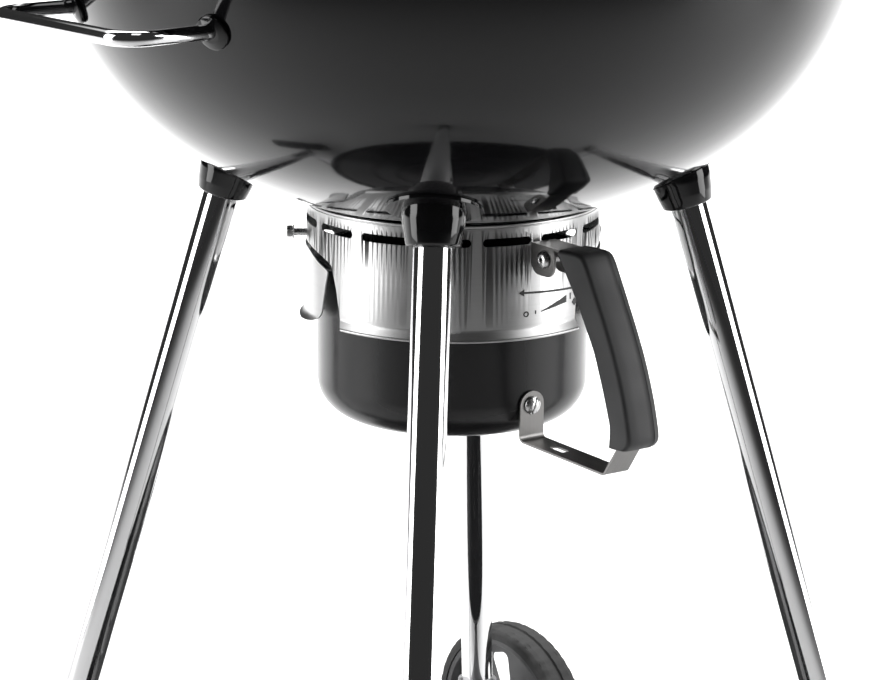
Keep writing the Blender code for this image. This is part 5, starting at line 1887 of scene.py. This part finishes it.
class GRILL_OT_gauge(bpy.types.Operator):
    """Builds the thermometer: case, marked dial, pointer and glass"""

    bl_idname = "grill.gauge"
    bl_label = "Thermometer"

    def execute(self, context):
        place = on_shell(lid_shell(), -38.0, 0.170, AIR)
        rim = 0.029
        high = 0.014
        floor_z = high - 0.006
        case = [
            (0, -0.045),
            (0.0026, -0.045, 0.0012),
            (0.0040, -0.041, 0.001),
            (0.0040, 0.0004, 0.0004),
            (0.0225, 0.0012, 0.003),
            (0.0275, 0.0040, 0.003),
            (0.0278, high - 0.0048, 0.0006),
            (rim, high - 0.0038, 0.0008),
            (rim, high, 0.0014),
            (rim - 0.0026, high, 0.0006),
            (rim - 0.0026, floor_z),
            (0, floor_z),
        ]
        body = lathe(eased(case, 4, False), 96, False)
        piece("gauge_housing", body, screw_steel(), "lid", place, ["gauge_case"])
        top = floor_z + AIR + 0.001
        face_r = rim - 0.0026 - AIR
        face = lathe(
            [
                (0.0015, floor_z + AIR),
                (face_r, floor_z + AIR),
                (face_r, top - 0.0002),
                (face_r - 0.0003, top),
                (0.0015, top),
            ],
            96,
        )
        piece("gauge_face", face, dial_white(), "lid", place, ["gauge_dial"])
        self.marks(place, top, face_r)
        needle = eased(
            [
                (-0.0065, -0.0013, 0.0005),
                (0.0020, -0.0017, 0.001),
                (0.0190, -0.0003),
                (0.0190, 0.0003),
                (0.0020, 0.0017, 0.001),
                (-0.0065, 0.0013, 0.0005),
            ]
        )
        hub = lathe(
            eased(
                [(0, top + 0.0003), (0.0026, top + 0.0003), (0.0026, top + 0.0014, 0.0005), (0, top + 0.0018)],
                3,
                False,
            ),
            40,
            False,
        )
        pointer = merged([prism(needle, top + 0.0003, top + 0.0010), hub])
        piece(
            "gauge_needle",
            pointer,
            pointer_red(),
            "gauge_pointer",
            place,
            ["gauge_pointer"],
        )
        lens = lathe(
            [
                (0, high - 0.0017),
                (face_r, high - 0.0017),
                (face_r, high - 0.0005),
                (face_r * 0.6, high - 0.0003),
                (0, high - 0.0002),
            ],
            96,
            False,
        )
        piece("gauge_lens", lens, gauge_glass(), "lid", place, ["gauge_glass"])
        return {"FINISHED"}

    def marks(self, place, top, face_r):
        """Ticks and a heat band, as thin raised ink on the dial."""
        parts = []
        for step in range(41):
            turn = -120 + step * 6
            major = step % 5 == 0
            long = 0.0034 if major else 0.0018
            wide = 0.00028 if major else 0.00014
            near = face_r - 0.0016 - long
            tick = prism(
                [(near, -wide), (face_r - 0.0016, -wide), (face_r - 0.0016, wide), (near, wide)],
                top,
                top + 0.00012,
            )
            bmesh.ops.transform(tick, matrix=Matrix.Rotation(math.radians(turn), 4, "Z"), verts=tick.verts)
            parts.append(tick)
        sweep = arc((0, 0), 0.0182, -60, 36, 32) + arc((0, 0), 0.0170, 36, -60, 32)
        parts.append(prism(sweep, top, top + 0.00012))
        piece("gauge_marks", merged(parts), marking_black(), "lid", place)


# ---------------------------------------------------------------- grates, wheels, shelf


def wire_grate(node, rod_r, ring_r, pitch, cross_r):
    """Straight rods welded on two cross rods inside a ring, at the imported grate's height."""
    low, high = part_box(node)
    radius = (high[0] - low[0]) / 2 - ring_r
    z = high[2] - ring_r - 0.0001
    circle = [
        (radius + ring_r * math.cos(turn), ring_r * math.sin(turn)) for turn in [math.tau * k / 16 for k in range(16)]
    ]
    parts = [lathe(circle, 144)]
    rows = int((radius - rod_r) / pitch)
    for row in range(-rows, rows + 1):
        x = row * pitch
        reach = math.sqrt(radius**2 - x**2)
        if reach > pitch:
            parts.append(rod([Vector((x, -reach, 0)), Vector((x, reach, 0))], rod_r, (0, 0, 1), 14))
    for sign in (-1, 1):
        y = sign * radius * 0.5
        reach = math.sqrt(radius**2 - y**2)
        path = [Vector((-reach, y, -rod_r - cross_r * 0.7)), Vector((reach, y, -rod_r - cross_r * 0.7))]
        parts.append(rod(path, cross_r, (0, 0, 1), 14))
    return merged(parts), Matrix.Translation((0, AXIS_Y, z))


class GRILL_OT_grates(bpy.types.Operator):
    """Welds the cooking grate and the charcoal grate from round rod"""

    bl_idname = "grill.grates"
    bl_label = "Grates"

    def execute(self, context):
        bars, place = wire_grate("cooking_grate", 0.0025, 0.0029, 0.0152, 0.0024)
        piece("cooking_rods", bars, grate_chrome(), "cooking_grate", place, ["cooking_grate"])
        bars, place = wire_grate("charcoal_grate", 0.0024, 0.0024, 0.0228, 0.0024)
        piece("charcoal_rods", bars, iron_black(), "charcoal_grate", place, ["charcoal_grate"])
        return {"FINISHED"}


class GRILL_OT_wheels(bpy.types.Operator):
    """Moulds the two wheels with their windows, and the tyres with their tread"""

    bl_idname = "grill.wheels"
    bl_label = "Wheels"

    def execute(self, context):
        half = 0.017
        rim = WHEEL_R - 0.010
        for side, sign in (("left", -1), ("right", 1)):
            centre = middle(f"tyre_{side}")
            place = frame_at(centre, (sign, 0, 0), (0, 1, 0))
            outline = [
                (0.0041, -half, 0.0004),
                (0.0165, -half, 0.0010),
                (0.0165, -0.0040, 0.0030),
                (0.0200, -0.0024, 0.003),
                (rim - 0.0075, -0.0024, 0.003),
                (rim - 0.0045, -half + 0.002, 0.0006),
                (rim, -half + 0.002, 0.0005),
                (rim, half - 0.002, 0.0005),
                (rim - 0.0045, half - 0.002, 0.0012),
                (rim - 0.0075, 0.0024, 0.003),
                (0.0200, 0.0024, 0.003),
                (0.0165, 0.0050, 0.0030),
                (0.0155, half - 0.001, 0.0024),
                (0.0120, half, 0.0010),
                (0.0105, half - 0.0010, 0.0006),
                (0, half - 0.0006),
                (0, half - 0.005),
                (0.0041, half - 0.005),
            ]
            hub = piece(
                f"wheel_disc_{side}",
                lathe(eased(outline), 120),
                wheel_plastic(),
                f"wheel_{side}",
                place,
                [f"wheel_hub_{side}"],
            )
            window = eased(
                [
                    (-0.0165, -0.0085, 0.004),
                    (0.0150, -0.0130, 0.006),
                    (0.0150, 0.0130, 0.006),
                    (-0.0165, 0.0085, 0.004),
                ], 5
            )
            reach = (0.0165 + rim - 0.0060) / 2
            cuts = [(prism(window, -0.01, 0.01), place @ turned_out(72 * index, reach)) for index in range(5)]
            carve(hub, cuts)
            soften(hub, 0.0006, 40)
            tyre = [
                (rim + AIR, -half + 0.001),
                (WHEEL_R - 0.0042, -half + 0.001, 0.0020),
                (WHEEL_R - 0.0018, -half + 0.0042, 0.0030),
                (WHEEL_R - 0.0004, -0.0085, 0.004),
                (WHEEL_R - 0.0004, -0.0018, 0.0004),
                (WHEEL_R - 0.0018, -0.0012, 0.0004),
                (WHEEL_R - 0.0018, 0.0012, 0.0004),
                (WHEEL_R - 0.0004, 0.0018, 0.0004),
                (WHEEL_R - 0.0004, 0.0085, 0.004),
                (WHEEL_R - 0.0018, half - 0.0042, 0.0030),
                (WHEEL_R - 0.0042, half - 0.001, 0.0020),
                (rim + AIR, half - 0.001),
            ]
            tread = lathe(eased(tyre), 192)
            for vert in tread.verts:
                reach = math.hypot(vert.co.x, vert.co.y)
                turn = math.degrees(math.atan2(vert.co.y, vert.co.x)) + (3.75 if vert.co.z > 0 else 0)
                lug = (turn % 7.5) > 2.0
                if reach > WHEEL_R - 0.0040 and lug and abs(vert.co.z) > 0.0020:
                    grown = min(0.0006, WHEEL_R - reach)
                    vert.co.x *= 1 + grown / reach
                    vert.co.y *= 1 + grown / reach
            piece(
                f"tyre_tread_{side}",
                tread,
                rubber_black(),
                f"wheel_{side}",
                place,
                [f"tyre_{side}"],
            )
        return {"FINISHED"}


class GRILL_OT_shelf(bpy.types.Operator):
    """Presses the round shelf with its rolled edge and ribs"""

    bl_idname = "grill.shelf"
    bl_label = "Shelf"

    def execute(self, context):
        top = low_z("shelf") + 0.0015
        edge = 0.232
        lip = high_z("shelf")
        upper = [(0, top)]
        lower = [(0, top - 0.0015)]
        for radius in (0.060, 0.105, 0.150):
            for shift, rise in ((-0.005, 0.0), (-0.002, 0.0011), (0.002, 0.0011), (0.005, 0.0)):
                upper.append((radius + shift, top + rise, 0.003))
                lower.append((radius + shift, top - 0.0015 + rise, 0.003))
        upper += [
            (edge - 0.0055, top, 0.007),
            (edge - 0.0002, lip - 0.0012, 0.0016),
            (edge + 0.0022, lip, 0.0010),
            (edge + 0.0040, lip - 0.0006, 0.0010),
            (edge + 0.0040, lip - 0.0026, 0.0006),
            (edge + 0.0014, lip - 0.0030, 0.001),
        ]
        lower.append((edge - 0.0050, top - 0.0015, 0.008))
        outline = eased(upper + lower[::-1], 4, False)
        piece(
            "shelf_tray",
            lathe(outline, 192, False),
            enamel_pan(),
            "bowl_stand",
            on_axis(),
            ["shelf"],
        )
        return {"FINISHED"}


class GRILL_OT_fittings(bpy.types.Operator):
    """Gives the axle, clips, brackets, damper, crossbar and nuts their finishes, and sets a washer beside each wheel
    """

    bl_idname = "grill.fittings"
    bl_label = "Small fittings"

    def execute(self, context):
        zinc = plated_steel()
        screws = screw_steel()
        plain = {
            "damper_nut": screws,
            "latch_nut_left": screws,
            "latch_nut_right": screws,
            "foot_nut": screws,
        }
        plated = ["wheel_axle", "pan_crossbar", "damper_blades", "damper_shaft"]
        plated += [f"shelf_clip_{name}" for name in LEGS]
        plated += [f"grate_bracket_{index}" for index in (1, 2, 3)]
        plain.update({name: zinc for name in plated})
        for name, finish in plain.items():
            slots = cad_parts[name].data.materials
            slots.clear()
            slots.append(finish)
        self.spacers(zinc)
        return {"FINISHED"}

    def spacers(self, zinc):
        """A washer beside each wheel, where the axle leaves the leg."""
        for side, sign in (("left", -1), ("right", 1)):
            wheel = middle(f"tyre_{side}")
            place = frame_at(wheel, (-sign, 0, 0), (0, 1, 0))
            low = 0.017 + AIR
            ring = lathe(
                eased(
                    [
                        (0.00405, low),
                        (0.0095, low, 0.0003),
                        (0.0095, low + 0.0014, 0.0003),
                        (0.00405, low + 0.0014),
                    ]
                ),
                64,
            )
            piece(f"axle_washer_{side}", ring, zinc, "bowl_stand", place)


# ---------------------------------------------------------------- studio


def panel_light(name, spot, aim, wide, tall, glow, spread=180):
    """A soft panel; glow is its brightness seen head on, spread the angle it shines into."""
    lamp = bpy.data.lights.new(name, "AREA")
    lamp.shape = "RECTANGLE"
    lamp.size = wide
    lamp.size_y = tall
    lamp.energy = glow * math.pi * wide * tall
    lamp.spread = math.radians(spread)
    made = bpy.data.objects.new(name, lamp)
    made.location = spot
    made.rotation_euler = (Vector(aim) - Vector(spot)).to_track_quat("-Z", "Y").to_euler()
    made.visible_camera = False
    bpy.context.scene.collection.objects.link(made)


class GRILL_OT_studio(bpy.types.Operator):
    """Lays the floor, hangs the soft panels and sets the camera"""

    bl_idname = "grill.studio"
    bl_label = "Floor, light and camera"

    def execute(self, context):
        self.floor()
        self.lights(context.scene)
        self.camera(context.scene)
        return {"FINISHED"}

    def floor(self):
        bm = bmesh.new()
        bmesh.ops.create_grid(bm, x_segments=8, y_segments=8, size=40)
        mesh = bpy.data.meshes.new("floor")
        bm.to_mesh(mesh)
        bm.free()
        plane = bpy.data.objects.new("floor", mesh)
        bpy.context.scene.collection.objects.link(plane)
        colour = sizes("studio").floor
        nodes = Nodes("floor", colour, 0.7)
        grain = nodes.noise(nodes.place(), 40.0, 4.0)
        nodes.roughness(nodes.between(grain, 0.66, 0.78))
        mesh.materials.append(nodes.material)

    def lights(self, scene):
        world = bpy.data.worlds.new("studio")
        scene.world = world
        world.use_nodes = True
        sky = world.node_tree.nodes["Background"]
        sky.inputs["Color"].default_value = (0.035, 0.035, 0.035, 1)
        sky.inputs["Strength"].default_value = 1.0
        bearing = math.degrees(sizes("studio").bearing)
        panel_light("panel_back", at(bearing + 180, 4.7, 2.4), at(bearing + 180, 4.6, 0), 11, 8.6, 3.0, 110)
        panel_light("panel_left", at(bearing - 75, 2.0, 1.0), at(0, 0, 0.5), 1.0, 2.0, 2.6, 120)
        panel_light("panel_right", at(bearing + 80, 2.0, 1.0), at(0, 0, 0.5), 1.0, 2.0, 2.6, 120)
        panel_light("panel_top", at(bearing, 0.9, 2.9), at(0, 0, 0.6), 0.7, 0.7, 3.0)

    def camera(self, scene):
        size = sizes("studio")
        bearing = math.degrees(size.bearing)
        ahead = heading(bearing + 180)
        right = heading(bearing + 90)
        level = ahead * math.cos(size.yaw) + right * math.sin(size.yaw)
        look = level * math.cos(size.pitch) - Vector((0, 0, math.sin(size.pitch)))
        side = right * math.cos(size.yaw) - ahead * math.sin(size.yaw)
        up = side.cross(look)
        side, up = side * math.cos(
            size.roll
        ) - up * math.sin(size.roll), up * math.cos(size.roll) + side * math.sin(size.roll)
        spot = at(bearing, size.distance, SLOT_Z + size.height)
        data = bpy.data.cameras.new("camera")
        data.lens = size.lens
        data.sensor_width = 36
        made = bpy.data.objects.new("camera", data)
        made.matrix_world = Matrix.Translation(spot) @ Matrix((side, up, -look)).transposed().to_4x4()
        scene.collection.objects.link(made)
        scene.camera = made
        scene.view_settings.view_transform = "Standard"
        scene.view_settings.look = "None"


class GRILL_PT_panel(bpy.types.Panel):
    """Lists the grill's pieces"""

    bl_idname = "GRILL_PT_panel"
    bl_label = "Kettle Grill"
    bl_space_type = "VIEW_3D"
    bl_region_type = "UI"
    bl_category = "Kettle Grill"

    def draw(self, context):
        for name, group in GROUPS.items():
            box = self.layout.box()
            box.label(text=name.capitalize())
            for prop in group.__annotations__:
                box.prop(getattr(context.scene, f"grill_{name}"), prop)
        for maker in MAKERS:
            self.layout.operator(maker.bl_idname)


MAKERS = [
    GRILL_OT_bowl,
    GRILL_OT_collars,
    GRILL_OT_legs,
    GRILL_OT_side_handles,
    GRILL_OT_band,
    GRILL_OT_latches,
    GRILL_OT_pan,
    GRILL_OT_strap,
    GRILL_OT_grip,
    GRILL_OT_handle_screws,
    GRILL_OT_lid,
    GRILL_OT_lid_handle,
    GRILL_OT_lid_vent,
    GRILL_OT_gauge,
    GRILL_OT_grates,
    GRILL_OT_wheels,
    GRILL_OT_shelf,
    GRILL_OT_fittings,
    GRILL_OT_studio,
]


def register():
    for made in (*GROUPS.values(), *MAKERS, GRILL_PT_panel):
        bpy.utils.register_class(made)
    for name, group in GROUPS.items():
        setattr(bpy.types.Scene, f"grill_{name}", PointerProperty(type=group))


def unregister():
    for name in GROUPS:
        delattr(bpy.types.Scene, f"grill_{name}")
    for made in (GRILL_PT_panel, *MAKERS[::-1], *list(GROUPS.values())[::-1]):
        bpy.utils.unregister_class(made)


def main():
    register()
    for maker in MAKERS:
        group, call = maker.bl_idname.split(".")
        getattr(getattr(bpy.ops, group), call)()


if __name__ == "__main__":
    main()
